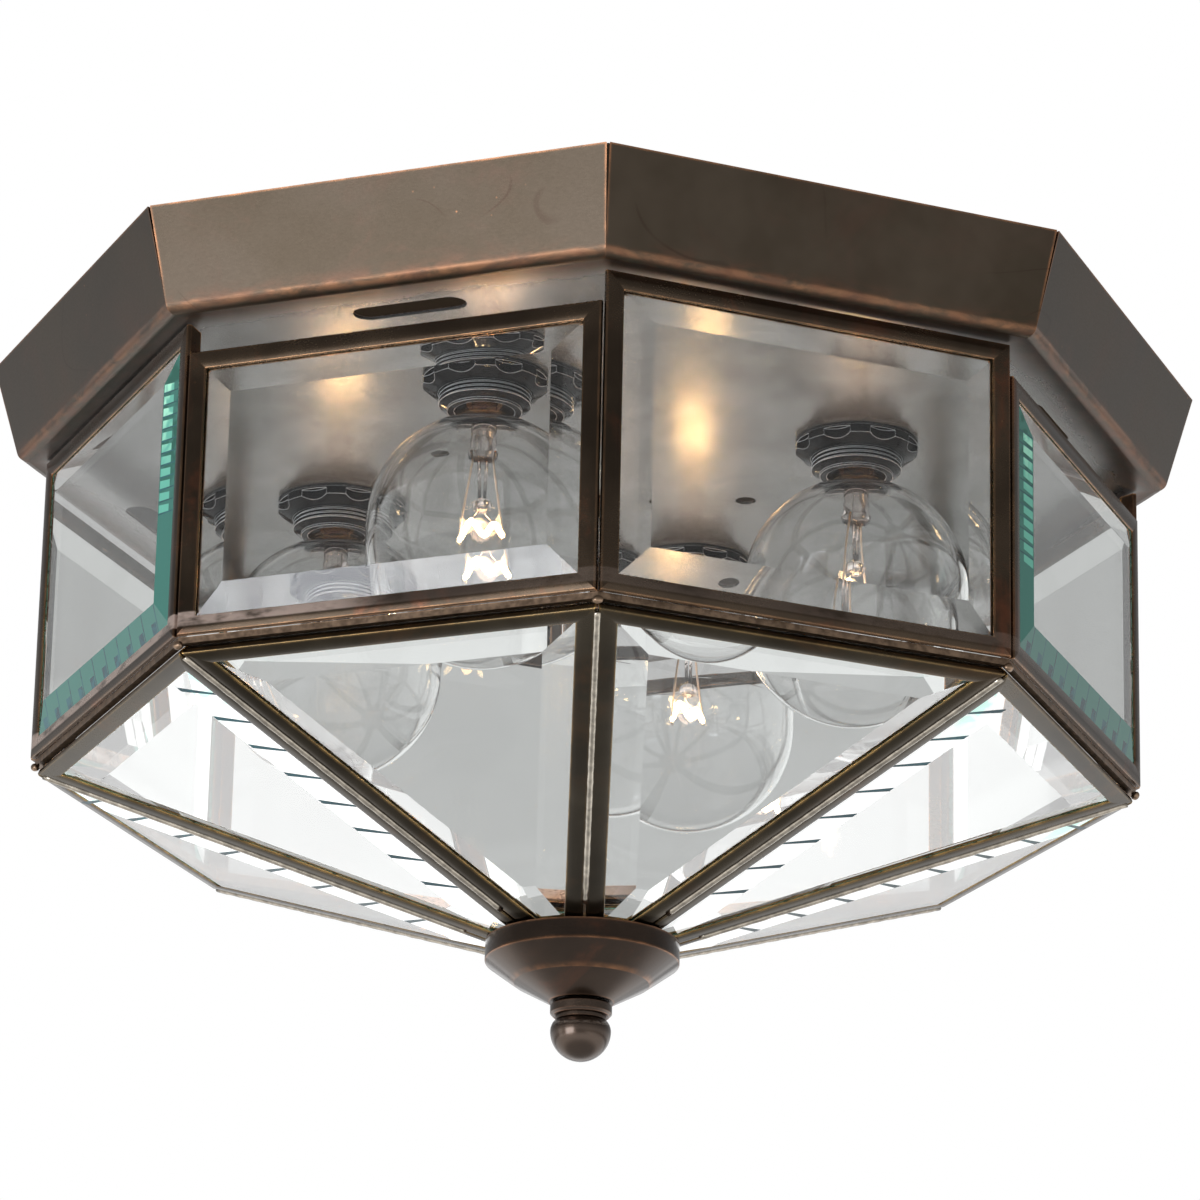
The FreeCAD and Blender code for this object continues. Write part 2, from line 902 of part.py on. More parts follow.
def mounting_strap():
    body = new_body("mounting_strap")
    sketch = new_sketch(body, "blank", "XY_Plane", -S.strap_thick)
    half, wide = S.box_spacing / 2 + S.strap_margin - S.strap_width / 2, S.strap_width / 2
    outline(sketch, [(-half, -wide), (half, -wide, (half, 0), 1), (half, wide),
                     (-half, wide, (-half, 0), 1)])
    circle(sketch, (0, 0), S.rod_radius + S.thread_fit)
    circle(sketch, (-S.ground_place, 0), S.ground_radius + S.thread_fit)
    slot_half, ease = S.box_slot_length / 2 - S.box_slot_radius, S.box_slot_radius
    for side in (-1, 1):
        middle = S.box_spacing / 2 * side
        left, right = middle - slot_half, middle + slot_half
        outline(sketch, [(left, -ease), (right, -ease, (right, 0), 1), (right, ease),
                         (left, ease, (left, 0), 1)])
    pad(body, sketch, S.strap_thick)
    return body


def ground_screw():
    head_top = -S.strap_thick
    low = head_top - S.ground_head
    bevel = S.nut_chamfer
    body = turned_body("ground_screw", [
        (0, 0), (0, low), (S.ground_head_radius - bevel, low), (S.ground_head_radius, low + bevel),
        (S.ground_head_radius, head_top), (S.ground_radius, head_top), (S.ground_radius, 0)])
    return set_down(body, (-S.ground_place, 0, 0))


# Lamp holders. Heights here are below the plate's lower face, so they are taken as depths.

def ridges(crest, root, start, pitch, count):
    """Points of ring shaped thread ridges, going up from a depth."""
    points = []
    for ring in range(count):
        low = start + pitch * ring
        points.append((root, low))
        points.append((crest, low + pitch / 2))
    points.append((root, start + pitch * count))
    return points


def holder(index):
    """Black moulded lamp holder, pushed down through the plate and held by its ring."""
    mouth = -S.mouth_depth
    root = barrel_radius() - S.thread_depth
    thread_low = mouth + S.mouth_lip
    flange_low = S.sheet
    flange_top = flange_low + S.holder_flange
    roof = holder_height()
    bore_top = roof - S.holder_roof
    thread = ridges(barrel_radius(), root, thread_low, S.thread_pitch, HOLDER_RINGS)
    flange = barrel_radius() + S.holder_flange_width
    back = barrel_radius() + S.holder_back_width
    body = turned_body("lamp_holder_%d" % (index + 1), [
        (holder_bore(), mouth), (mouth_radius(), mouth),
        (mouth_radius(), thread_low - S.mouth_lip / 2)] + thread + [
        (barrel_radius(), thread_low + S.thread_pitch * (HOLDER_RINGS + 0.5)),
        (barrel_radius(), flange_low), (flange, flange_low), (flange, flange_top),
        (back, flange_top), (back, roof - S.mouth_lip), (back - S.mouth_lip, roof),
        (0, roof), (0, bore_top), (holder_bore(), bore_top)])
    return set_down(body, lamp_place(index, plate_bottom()))


def ring_nut(index):
    """Fluted ring that screws up the holder and clamps it to the plate."""
    bore = barrel_radius() + S.ring_clearance
    ease, wide = S.edge_round, barrel_radius() + S.ring_width
    narrow = barrel_radius() + S.ring_end_width
    body = turned_body("holder_ring_%d" % (index + 1), [
        (bore, 0), (wide - ease, 0), (wide, -ease), (wide, -S.ring_straight),
        (narrow, -S.ring_height), (bore, -S.ring_height)])
    doc.recompute()
    reach = wide + S.flute_radius - S.flute_depth
    sketch = new_sketch(body, "flute", "XY_Plane", -S.ring_shelf)
    circle(sketch, (reach, 0), S.flute_radius)
    cut = pocket(body, sketch, S.ring_height + S.overrun, "flute_cut", both_ways=False)
    polar(body, cut, FLUTES, 360.0)
    return set_down(body, lamp_place(index, plate_bottom()))


def screw_shell(index):
    """Brass screw shell inside the holder, whose ridges follow those of the lamp base."""
    fit = S.screw_fit
    low = -S.base_thread_top - S.base_pitch / 2
    inner = ridges(S.base_crest + fit, base_root() + fit, low, S.base_pitch, BASE_RINGS)
    top = low + S.base_pitch * BASE_RINGS
    outer, mouth = shell_radius(), S.shell_setback - S.base_mouth
    body = turned_body("screw_shell_%d" % (index + 1),
                       [(outer, top), (outer, mouth), (outer - S.shell_wall, mouth)] + inner)
    return set_down(body, lamp_place(index, plate_bottom()))


def centre_contact(index):
    """Brass button in the roof of the holder that the lamp's eyelet meets."""
    low = S.base_tip + S.contact_gap
    top = holder_height() - S.holder_roof
    body = turned_body("centre_contact_%d" % (index + 1), [
        (0, low), (S.contact_radius - S.contact_thick, low), (S.contact_radius, low + S.contact_thick),
        (S.contact_radius, top), (0, top)])
    return set_down(body, lamp_place(index, plate_bottom()))


# Lamps. Each lamp is a glass globe, a screw base and the mount that carries its filament.

def neck_blend(radius, neck, turn):
    """Centre of the hollow that blends the neck into the globe, and where it meets the globe."""
    reach = radius + turn
    aside = neck + turn
    rise = (reach * reach - aside * aside).root()
    middle = -S.globe_high + rise
    return (aside, middle), (aside * (radius / reach), -S.globe_high + rise * (radius / reach))


def lamp_globe(index):
    wall, neck, tenon = S.globe_wall, neck_radius(), tenon_radius()
    radius, inner, bore = S.globe_radius, S.globe_radius - wall, tenon - wall
    centre, touch = neck_blend(radius, neck, S.neck_round)
    in_centre, in_touch = neck_blend(inner, bore, S.neck_round + wall)
    low, high = -S.globe_low, -S.globe_high
    step = -(S.base_mouth + S.cement)
    body = turned_body("lamp_globe_%d" % (index + 1), [
        (0, low - radius, (0, low), 1), (radius, low), (radius, high, (0, high), 1),
        (touch[0], touch[1], centre, -1), (neck, centre[1]), (neck, step), (tenon, step),
        (tenon, -S.neck_top), (bore, -S.neck_top), (bore, in_centre[1], in_centre, 1),
        (in_touch[0], in_touch[1], (0, high), -1), (inner, high), (inner, low, (0, low), -1),
        (0, low - inner)])
    return stand_lamp(body, index)


def lamp_base(index):
    low = -S.base_thread_top - S.base_pitch / 2
    thread_top = low + S.base_pitch * BASE_RINGS
    thread = ridges(S.base_crest, base_root(), low, S.base_pitch, BASE_RINGS)
    tip = S.base_tip
    bore = tenon_radius() + S.cement
    eyelet_low = tip - S.eyelet_height
    shoulder = eyelet_low - S.insulator_height
    body = turned_body("lamp_base_%d" % (index + 1), [
        (bore, -S.base_mouth), (base_root(), -S.base_mouth)] + thread + [
        (base_root(), shoulder), (S.insulator_radius, eyelet_low), (S.eyelet_radius, eyelet_low),
        (S.eyelet_radius, tip), (0, tip), (0, thread_top), (bore, thread_top)])
    return stand_lamp(body, index)


def lamp_filament(index):
    """Glass stem and bead, with one wire that is both leads and the filament between them."""
    stem = -S.stem_end
    flare = -S.neck_top
    bead = -S.bead_depth
    press, bead_radius, rod = S.press_radius, S.bead_radius, S.support_radius
    drop = (bead_radius * bead_radius - rod * rod).root()
    body = turned_body("lamp_filament_%d" % (index + 1), [
        (0, flare), (0, bead - bead_radius, (0, bead), 1), (rod, bead + drop), (rod, stem),
        (press, stem), (S.stem_radius, stem + S.stem_radius), (S.stem_radius, flare - S.stem_radius),
        (S.stem_flare, flare)])
    doc.recompute()
    apex = -(S.bead_depth + bead_radius)
    start, reach, low = S.wire_start, S.filament_half, -S.filament_depth
    inside = stem + S.wire_start
    spine = new_sketch(body, "wire_path", "XZ_Plane")
    path = [(start, inside), (reach, low), (0, apex), (-reach, low), (-start, inside)]
    open_path(spine, path)
    section = new_sketch(body, "wire_section", "XY_Plane", inside)
    circle(section, (start, 0), S.wire_radius)
    wire = body.newObject("PartDesign::AdditivePipe", "wire")
    wire.Profile = section
    wire.Spine = (spine, [])
    wire.Transition = "Round corner"
    return stand_lamp(body, index)


def open_path(sketch, points):
    """Draw straight runs from point to point."""
    for index in range(len(points) - 1):
        sketch.addGeometry(Part.LineSegment(flat(points[index]), flat(points[index + 1])), False)
        if index:
            sketch.addConstraint(Sketcher.Constraint("Coincident", index - 1, 2, index, 1))
        pin_point(sketch, index, 1, points[index])
    pin_point(sketch, len(points) - 2, 2, points[-1])


def stand_lamp(body, index):
    turn = Rotation(Vector(0, 0, 1), FILAMENT_TURNS[index])
    return set_down(body, lamp_place(index, plate_bottom()), turn)


# Leads run from each holder to two wire connectors beside the rod.

def connector_place(which):
    angle = math.radians(CONNECTOR_ANGLES[which])
    reach = S.connector_place.number
    return Vector(reach * math.cos(angle), reach * math.sin(angle), 0)


def lead_height(which):
    return plate_top() + S.lead_rise + S.lead_step * which


def connector_mouth(which):
    return lead_height(which) + S.lead_bend


def lead_shape(index, which):
    """One insulated lead: a level run, a bend and a short rise into its connector."""
    holder_spot = Vector(*(number(value) for value in lamp_place(index, 0)))
    centre = connector_place(which)
    along = (centre - holder_spot).normalize()
    back = barrel_radius() + S.holder_back_width
    level = Vector(0, 0, lead_height(which).number)
    bend, rise = S.lead_bend.number, Vector(0, 0, S.lead_bend.number)
    start = holder_spot + along * (back + S.lead_gap).number + level
    spot = centre - along * S.lead_spot.number + level
    turn = spot - along * bend
    middle = turn + along * (bend * math.sin(math.pi / 4))
    middle += rise * (1 - math.cos(math.pi / 4))
    top = spot + rise
    end = top + Vector(0, 0, S.lead_entry.number)
    path = Part.Wire([Part.LineSegment(start, turn).toShape(),
                      Part.Arc(turn, middle, top).toShape(),
                      Part.LineSegment(top, end).toShape()])
    section = Part.Wire([Part.Circle(start, along, S.lead_radius.number).toShape()])
    return path.makePipeShell([section], True, False)


def socket_leads():
    leads = doc.addObject("Part::Feature", "socket_leads")
    leads.Label = "socket_leads"
    leads.Shape = Part.makeCompound([lead_shape(index, which)
                                     for index in range(LAMPS)
                                     for which in range(len(CONNECTOR_ANGLES))])
    return leads


def connector(which):
    mouth = connector_mouth(which)
    top = mouth + S.connector_length
    wide, narrow = S.connector_radius, S.connector_end_radius
    ease = S.nut_chamfer
    body = turned_body("wire_connector_%d" % (which + 1), [
        (S.connector_bore, mouth), (wide, mouth), (wide, mouth + ease * 2),
        (narrow, top - ease), (narrow - ease, top), (0, top),
        (0, mouth + S.connector_bore_depth), (S.connector_bore, mouth + S.connector_bore_depth)])
    angle = math.radians(CONNECTOR_ANGLES[which])
    reach = S.connector_place
    return set_down(body, (reach * math.cos(angle), reach * math.sin(angle), 0))


# The whole light

def build():
    nodes = [ceiling_pan(), mounting_strap(), centre_rod(), fasteners()]
    lamps = range(LAMPS)
    nodes += [holder(index) for index in lamps]
    nodes.append(group("holder_rings", [ring_nut(index) for index in lamps]))
    nodes.append(group("holder_contacts", [screw_shell(index) for index in lamps]
                       + [centre_contact(index) for index in lamps]))
    for index in lamps:
        nodes += [lamp_globe(index), lamp_base(index), lamp_filament(index)]
    nodes.append(socket_leads())
    nodes.append(group("wire_connectors", [connector(which)
                                           for which in range(len(CONNECTOR_ANGLES))]))
    nodes += cage_panels()
    nodes += [waist_ring(), bottom_cap(), cap_hub(), finial()]
    return nodes


def check(nodes):
    """Stop before anything is written if a feature failed or a node has no good solid."""
    for item in doc.Objects:
        if "Invalid" in item.State or "Error" in item.State:
            raise RuntimeError("%s failed: %s" % (item.Label, item.State))
    for node in nodes:
        if node.Shape.isNull() or not node.Shape.isValid() or not node.Shape.Solids:
            raise RuntimeError("%s has no valid solid" % node.Label)


nodes = build()
doc.recompute()
check(nodes)
os.makedirs("parts", exist_ok=True)
for node in nodes:
    node.Shape.exportStep("parts/%s.step" % node.Label)
    print("%-18s %2d solids %10.1f mm3" % (node.Label, len(node.Shape.Solids), node.Shape.Volume))
print("%d nodes" % len(nodes))
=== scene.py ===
import json
import math

import bmesh
import bpy
from mathutils import Matrix, Vector
from mathutils.noise import noise as noise_of


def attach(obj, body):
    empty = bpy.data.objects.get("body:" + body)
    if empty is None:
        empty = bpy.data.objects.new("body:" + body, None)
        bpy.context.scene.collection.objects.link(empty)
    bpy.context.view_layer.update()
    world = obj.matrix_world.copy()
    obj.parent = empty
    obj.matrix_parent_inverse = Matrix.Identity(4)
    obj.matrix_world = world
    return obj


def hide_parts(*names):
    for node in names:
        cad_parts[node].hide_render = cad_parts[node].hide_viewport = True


# Flush mount ceiling light: an octagonal bronze pan, a cage of bevelled panes in channel
# frames, and globe lamps. Metres, the ceiling plane at z = 0, the light hanging below it.

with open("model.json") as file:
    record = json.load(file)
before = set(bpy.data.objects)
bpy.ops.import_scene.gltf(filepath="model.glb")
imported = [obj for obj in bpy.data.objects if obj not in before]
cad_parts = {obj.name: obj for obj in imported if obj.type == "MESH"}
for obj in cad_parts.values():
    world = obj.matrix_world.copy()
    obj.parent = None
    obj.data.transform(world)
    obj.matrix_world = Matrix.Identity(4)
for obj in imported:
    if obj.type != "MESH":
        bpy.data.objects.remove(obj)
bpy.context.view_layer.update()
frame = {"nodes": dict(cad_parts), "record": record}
nodes = frame["nodes"]

MM = 0.001
PANELS = 8
LAMPS = 4
PANEL_TURN = math.radians(360 / PANELS)
FIRST_PANEL = math.radians(-90)

# Sizes taken from the construction, in metres
PLATE_BOTTOM = -23.7 * MM
LAMP_REACH = 66.0 * MM
CAGE_APOTHEM = 121.21 * MM
CAGE_HALF = 49.51 * MM
TALL_TOP = -24.2 * MM
SHORT_TOP = -31.4 * MM
WAIST = -98.4 * MM
LOWER_APOTHEM = 119.27 * MM
LOWER_HALF = 49.40 * MM
LOWER_TOP = -102.3 * MM
LOWER_LEAN = math.radians(69.18)
LOWER_LENGTH = 111.13 * MM
HIP_SLOPE = 0.38715
HIP_SETBACK = 0.4 * MM
RIM_RADIUS = 144.5 * MM
FILAMENT_TURNS = (28, 74, 60, 15)


# Camera: fitted to the pan's corners, the cage's corners and the cap

FOCAL_PIXELS = 5772.3
PHOTO_PIXELS = 1200
SENSOR_MM = 36.0
CAMERA_AZIMUTH = math.radians(21.672)
CAMERA_ELEVATION = math.radians(-19.363)
CAMERA_ROLL = math.radians(1.213)
CAMERA_DISTANCE = 1.3915
AIM_ASIDE = 1.29 * MM
AIM_UP = -51.88 * MM


def place_camera():
    back = Vector((math.sin(CAMERA_AZIMUTH) * math.cos(CAMERA_ELEVATION),
                   -math.cos(CAMERA_AZIMUTH) * math.cos(CAMERA_ELEVATION),
                   math.sin(CAMERA_ELEVATION)))
    level = Vector((math.cos(CAMERA_AZIMUTH), math.sin(CAMERA_AZIMUTH), 0))
    upright = back.cross(level)
    turn_cos, turn_sin = math.cos(CAMERA_ROLL), math.sin(CAMERA_ROLL)
    right = turn_cos * level + turn_sin * upright
    up = turn_cos * upright - turn_sin * level
    aim = AIM_ASIDE * right + AIM_UP * up
    data = bpy.data.cameras.new("photo_view")
    data.sensor_width = SENSOR_MM
    data.lens = SENSOR_MM * FOCAL_PIXELS / PHOTO_PIXELS
    data.clip_start = 0.05
    data.clip_end = 50
    camera = bpy.data.objects.new("photo_view", data)
    bpy.context.scene.collection.objects.link(camera)
    turn = Matrix((right, up, back)).transposed().to_4x4()
    camera.matrix_world = Matrix.Translation(aim + CAMERA_DISTANCE * back) @ turn
    bpy.context.scene.camera = camera


# Node tools

def feed(tree, value, socket):
    """Give a socket another node's output, a plain value or a colour."""
    if isinstance(value, bpy.types.NodeSocket):
        tree.links.new(value, socket)
    elif socket.type == "RGBA":
        socket.default_value = (*value, 1.0)
    else:
        socket.default_value = value


def set_inputs(tree, node, values):
    """Feed a node's inputs, each named by its title or number."""
    for title, value in values.items():
        feed(tree, value, node.inputs[title])


def add_node(tree, kind, values=None, **settings):
    node = tree.nodes.new("ShaderNode" + kind)
    for title, value in settings.items():
        setattr(node, title, value)
    set_inputs(tree, node, values or {})
    return node


def new_group(name, inputs, outputs):
    group = bpy.data.node_groups.new(name, "ShaderNodeTree")
    for title, kind, value in inputs:
        socket = group.interface.new_socket(title, in_out="INPUT", socket_type="NodeSocket" + kind)
        if kind == "Color":
            socket.default_value = (*value, 1.0)
        elif value is not None:
            socket.default_value = value
    for title, kind in outputs:
        group.interface.new_socket(title, in_out="OUTPUT", socket_type="NodeSocket" + kind)
    return group, group.nodes.new("NodeGroupInput").outputs, group.nodes.new("NodeGroupOutput")


def math_node(tree, operation, *values, clamp=False):
    node = add_node(tree, "Math", dict(enumerate(values)), operation=operation, use_clamp=clamp)
    return node.outputs[0]


def product(tree, first, *others):
    for other in others:
        first = math_node(tree, "MULTIPLY", first, other)
    return first


def inverse(tree, value):
    return math_node(tree, "SUBTRACT", 1.0, value)


def step_node(tree, value, start, full):
    """0 up to start, 1 from full on, smooth between; start may lie above full."""
    node = add_node(tree, "MapRange", {"Value": value, "From Min": start, "From Max": full},
                    interpolation_type="SMOOTHSTEP")
    return node.outputs["Result"]


def band(tree, value, rise, fall):
    """1 between two slopes, each given by where it starts and where it is full."""
    return product(tree, step_node(tree, value, *rise), step_node(tree, value, *fall))


def dot_node(tree, first, second):
    node = add_node(tree, "VectorMath", {0: first, 1: second}, operation="DOT_PRODUCT")
    return node.outputs["Value"]


def split(tree, vector):
    return add_node(tree, "SeparateXYZ", {0: vector}).outputs


def mix_colours(tree, share, first, second):
    return add_node(tree, "Mix", {0: share, 6: first, 7: second}, data_type="RGBA").outputs[2]


def mix_shaders(tree, share, first, second):
    return add_node(tree, "MixShader", {0: share, 1: first, 2: second}).outputs[0]


def noise(tree, vector, scale, detail=3.0, roughness=0.5, distortion=0.0):
    node = add_node(tree, "TexNoise", {"Vector": vector, "Scale": scale, "Detail": detail,
                                       "Roughness": roughness, "Distortion": distortion})
    return node.outputs[0]


def object_place(tree):
    return add_node(tree, "TexCoord").outputs["Object"]


# Shared effects

# Brush lines are drawn out along the sides, and differ from side to side.
BEVEL_SAMPLES = 6
BRUSH_STRETCH, BRUSH_SHIFT, BRUSH_FINENESS = 0.035, 0.05, 2600.0
SPECK_FINENESS, SPECK_WEAR = 260.0, 0.35


def make_edge_wear_and_highlight():
    """A mask, white along the bends and edges of a piece, broken up by noise: worn edges on the
    bronze, a painted highlight on the holders.
    """
    tree, given, result = new_group(
        "edge wear and highlight",
        [("Width", "Float", 0.8 * MM), ("Sharpness", "Float", 6.0), ("Break Up", "Float", 0.5),
         ("Grain", "Float", 160.0)],
        [("Mask", "Float")])
    rounded = add_node(tree, "Bevel", {"Radius": given["Width"]}, samples=BEVEL_SAMPLES)
    facing = add_node(tree, "NewGeometry").outputs["Normal"]
    bend = inverse(tree, dot_node(tree, rounded.outputs[0], facing))
    mask = math_node(tree, "MULTIPLY", bend, given["Sharpness"], clamp=True)
    grain = noise(tree, object_place(tree), given["Grain"], 5.0, 0.65)
    lost = product(tree, step_node(tree, grain, 0.62, 0.38), given["Break Up"])
    set_inputs(tree, result, {"Mask": product(tree, mask, inverse(tree, lost))})
    return tree


def make_facet_place():
    """Folds the eight sides on to one: how far out, how high, how far from the axis, and a
    place drawn out along the sides for brush lines."""
    tree, _, result = new_group("facet place", [], [
        ("Out", "Float"), ("Height", "Float"), ("Radius", "Float"), ("Brushed", "Vector")])
    x, y, z = split(tree, object_place(tree))
    angle = math_node(tree, "ARCTAN2", y, x)
    turned = math_node(tree, "ADD", angle, PANEL_TURN / 2)
    folded = math_node(tree, "FLOORED_MODULO", turned, PANEL_TURN)
    folded = math_node(tree, "SUBTRACT", folded, PANEL_TURN / 2)
    squares = math_node(tree, "MULTIPLY_ADD", x, x, product(tree, y, y))
    radius = math_node(tree, "SQRT", squares)
    along = product(tree, radius, math_node(tree, "SINE", folded))
    out = product(tree, radius, math_node(tree, "COSINE", folded))
    drawn = math_node(tree, "MULTIPLY_ADD", along, BRUSH_STRETCH, product(tree, angle, BRUSH_SHIFT))
    brushed = add_node(tree, "CombineXYZ", {0: drawn, 1: out, 2: z}).outputs[0]
    set_inputs(tree, result, {"Out": out, "Height": z, "Radius": radius, "Brushed": brushed})
    return tree


def make_aged_bronze():
    """Dark bronze with brown and reddish clouds, worn copper edges and fine brush lines."""
    tree, given, result = new_group(
        "aged bronze",
        [("Dark", "Color", (0.03, 0.02, 0.014)), ("Cloud", "Color", (0.075, 0.045, 0.028)),
         ("Red", "Color", (0.16, 0.05, 0.022)), ("Worn", "Color", (0.62, 0.28, 0.12)),
         ("Red Amount", "Float", 0.35), ("Wear", "Float", 0.8), ("Wear Width", "Float", 0.8 * MM),
         ("Wear Sharpness", "Float", 6.0), ("Extra Wear", "Float", 0.0),
         ("Roughness", "Float", 0.3), ("Brush", "Vector", None)],
        [("Color", "Color"), ("Roughness", "Float"), ("Height", "Float")])
    place = object_place(tree)
    clouds = step_node(tree, noise(tree, place, 22.0, 4.0, 0.6), 0.35, 0.7)
    colour = mix_colours(tree, clouds, given["Dark"], given["Cloud"])
    red = step_node(tree, noise(tree, place, 38.0, 5.0, 0.7, 0.6), 0.52, 0.74)
    colour = mix_colours(tree, product(tree, red, given["Red Amount"]), colour, given["Red"])
    specks = add_node(tree, "TexVoronoi", {"Vector": place, "Scale": SPECK_FINENESS})
    dots = product(tree, step_node(tree, specks.outputs["Distance"], 0.09, 0.02),
                   step_node(tree, noise(tree, place, 31.0), 0.55, 0.68), SPECK_WEAR)
    edges = use_effect(tree, "edge wear and highlight", {"Break Up": 0.6, "Width": given["Wear Width"],
                                           "Sharpness": given["Wear Sharpness"]})
    worn = math_node(tree, "MAXIMUM", product(tree, edges["Mask"], given["Wear"]), dots)
    worn = math_node(tree, "ADD", worn, given["Extra Wear"], clamp=True)
    lines = noise(tree, given["Brush"], BRUSH_FINENESS)
    rough = math_node(tree, "MULTIPLY_ADD", clouds, 0.10, given["Roughness"])
    rough = math_node(tree, "MULTIPLY_ADD", math_node(tree, "SUBTRACT", lines, 0.5), 0.12, rough)
    set_inputs(tree, result, {"Color": mix_colours(tree, worn, colour, given["Worn"]),
                              "Roughness": rough, "Height": lines})
    return tree


effects = {}


def make_effects():
    effects["edge wear and highlight"] = make_edge_wear_and_highlight()
    effects["facet place"] = make_facet_place()
    effects["aged bronze"] = make_aged_bronze()


def use_effect(tree, name, values=None):
    """Place a shared effect with its own values and give its outputs."""
    return add_node(tree, "Group", values, node_tree=effects[name]).outputs


# Materials

# Slopes run from where they start to where they are full: the cap's copper step, by its distance
# from the edge, the painted highlight on the lip of the rails, the pan's copper bend and its satin
# plate.
BUMP_DEPTH = 0.05 * MM
BRONZE_BUMP, PAN_BUMP = 0.12, 0.10
BRONZE_METAL, COAT_ROUGHNESS = 0.95, 0.12
CAP_STEP = 15.8 * MM
STEP_RISE, STEP_FALL, STEP_WEAR = (-0.20 * MM, 0.0), (1.5 * MM, 0.0), 0.40
LIP_RISE, LIP_FALL = (-96.7 * MM, -96.2 * MM), (-92.9 * MM, -93.4 * MM)
# The lip's colour and its drop in metal paint a highlight on the rails at the waist.
LIP_HIGHLIGHT, LIP_LESS_METAL = (0.50, 0.385, 0.325), 0.6
LIP_SIDE, LIP_LEAST, LIP_MOST = (4 * MM, -14 * MM), 0.15, 0.85
BEND_RISE, BEND_FALL = (-23.5 * MM, -22.8 * MM), (-21.0 * MM, -22.0 * MM)
PLATE_EDGE, PLATE_RISE = (128.0 * MM, 115.0 * MM), (-22.6 * MM, -23.4 * MM)
SATIN_ROUGHNESS = 0.22


def new_material(name):
    material = bpy.data.materials.new(name)
    material.use_nodes = True
    tree = material.node_tree
    shader = next(node for node in tree.nodes if node.type == "BSDF_PRINCIPLED")
    return material, tree, shader


def clear_where(tree, share, shader, tint=(1.0, 1.0, 1.0)):
    """End a material with its shader, clear where share is 1."""
    clear = add_node(tree, "BsdfTransparent", {"Color": tint}).outputs[0]
    output = next(node for node in tree.nodes if node.type == "OUTPUT_MATERIAL")
    feed(tree, mix_shaders(tree, share, shader, clear), output.inputs["Surface"])


def lighting_rays(tree):
    """1 for the rays that only carry light, 0 for those that make a picture."""
    path = add_node(tree, "LightPath").outputs
    return math_node(tree, "MAXIMUM", path["Is Shadow Ray"], path["Is Diffuse Ray"])


def add_bump(tree, shader, height, strength):
    bump = add_node(tree, "Bump", {"Strength": strength, "Distance": BUMP_DEPTH, "Height": height})
    feed(tree, bump.outputs[0], shader.inputs["Normal"])


def painted_lip_highlight(tree, place):
    """Painted highlight on the rails at the waist: how much lighter and less metallic they are, in
    patches, most towards -X.
    """
    patches = step_node(tree, noise(tree, place["Brushed"], 300.0, 3.0, 0.6), 0.15, 0.55)
    # The painted highlight grows from +X towards -X.
    held = step_node(tree, split(tree, object_place(tree))[0], *LIP_SIDE)
    amount = math_node(tree, "MULTIPLY_ADD", held, LIP_MOST - LIP_LEAST, LIP_LEAST)
    return product(tree, band(tree, place["Height"], LIP_RISE, LIP_FALL), patches, amount)


def bronze(name, values, coat=0.5, step=None, lip=False):
    """Aged bronze. Step is the radius of a turned step that is worn to copper, and lip asks for
    a painted highlight on the rails at the waist."""
    material, tree, shader = new_material(name)
    place = use_effect(tree, "facet place")
    values = {**values, "Brush": place["Brushed"]}
    if step:
        aside = math_node(tree, "SUBTRACT", place["Radius"], step)
        patches = step_node(tree, noise(tree, object_place(tree), 90.0, 4.0, 0.6), 0.30, 0.62)
        worn = product(tree, band(tree, aside, STEP_RISE, STEP_FALL), patches, STEP_WEAR)
        values["Extra Wear"] = worn
    finish = use_effect(tree, "aged bronze", values)
    colour, metal = finish["Color"], BRONZE_METAL
    if lip:
        # The rails at the waist get a painted highlight: lighter and less metallic.
        lip_highlight = painted_lip_highlight(tree, place)
        colour = mix_colours(tree, lip_highlight, colour, LIP_HIGHLIGHT)
        metal = math_node(tree, "MULTIPLY_ADD", lip_highlight, -LIP_LESS_METAL, BRONZE_METAL)
    set_inputs(tree, shader, {"Base Color": colour, "Roughness": finish["Roughness"],
                              "Metallic": metal, "Coat Weight": coat,
                              "Coat Roughness": COAT_ROUGHNESS})
    add_bump(tree, shader, finish["Height"], BRONZE_BUMP)
    return material


def scratches(tree, place, scale, seldom):
    """Fine curved hairlines, in patches."""
    wave = math_node(tree, "SUBTRACT", noise(tree, place, scale, 1.0, 0.4, 0.6), 0.5)
    line = step_node(tree, math_node(tree, "ABSOLUTE", wave), 0.0030, 0.0006)
    patch = step_node(tree, noise(tree, place, scale * 1.7, 2.0), seldom, seldom + 0.08)
    return product(tree, line, patch)


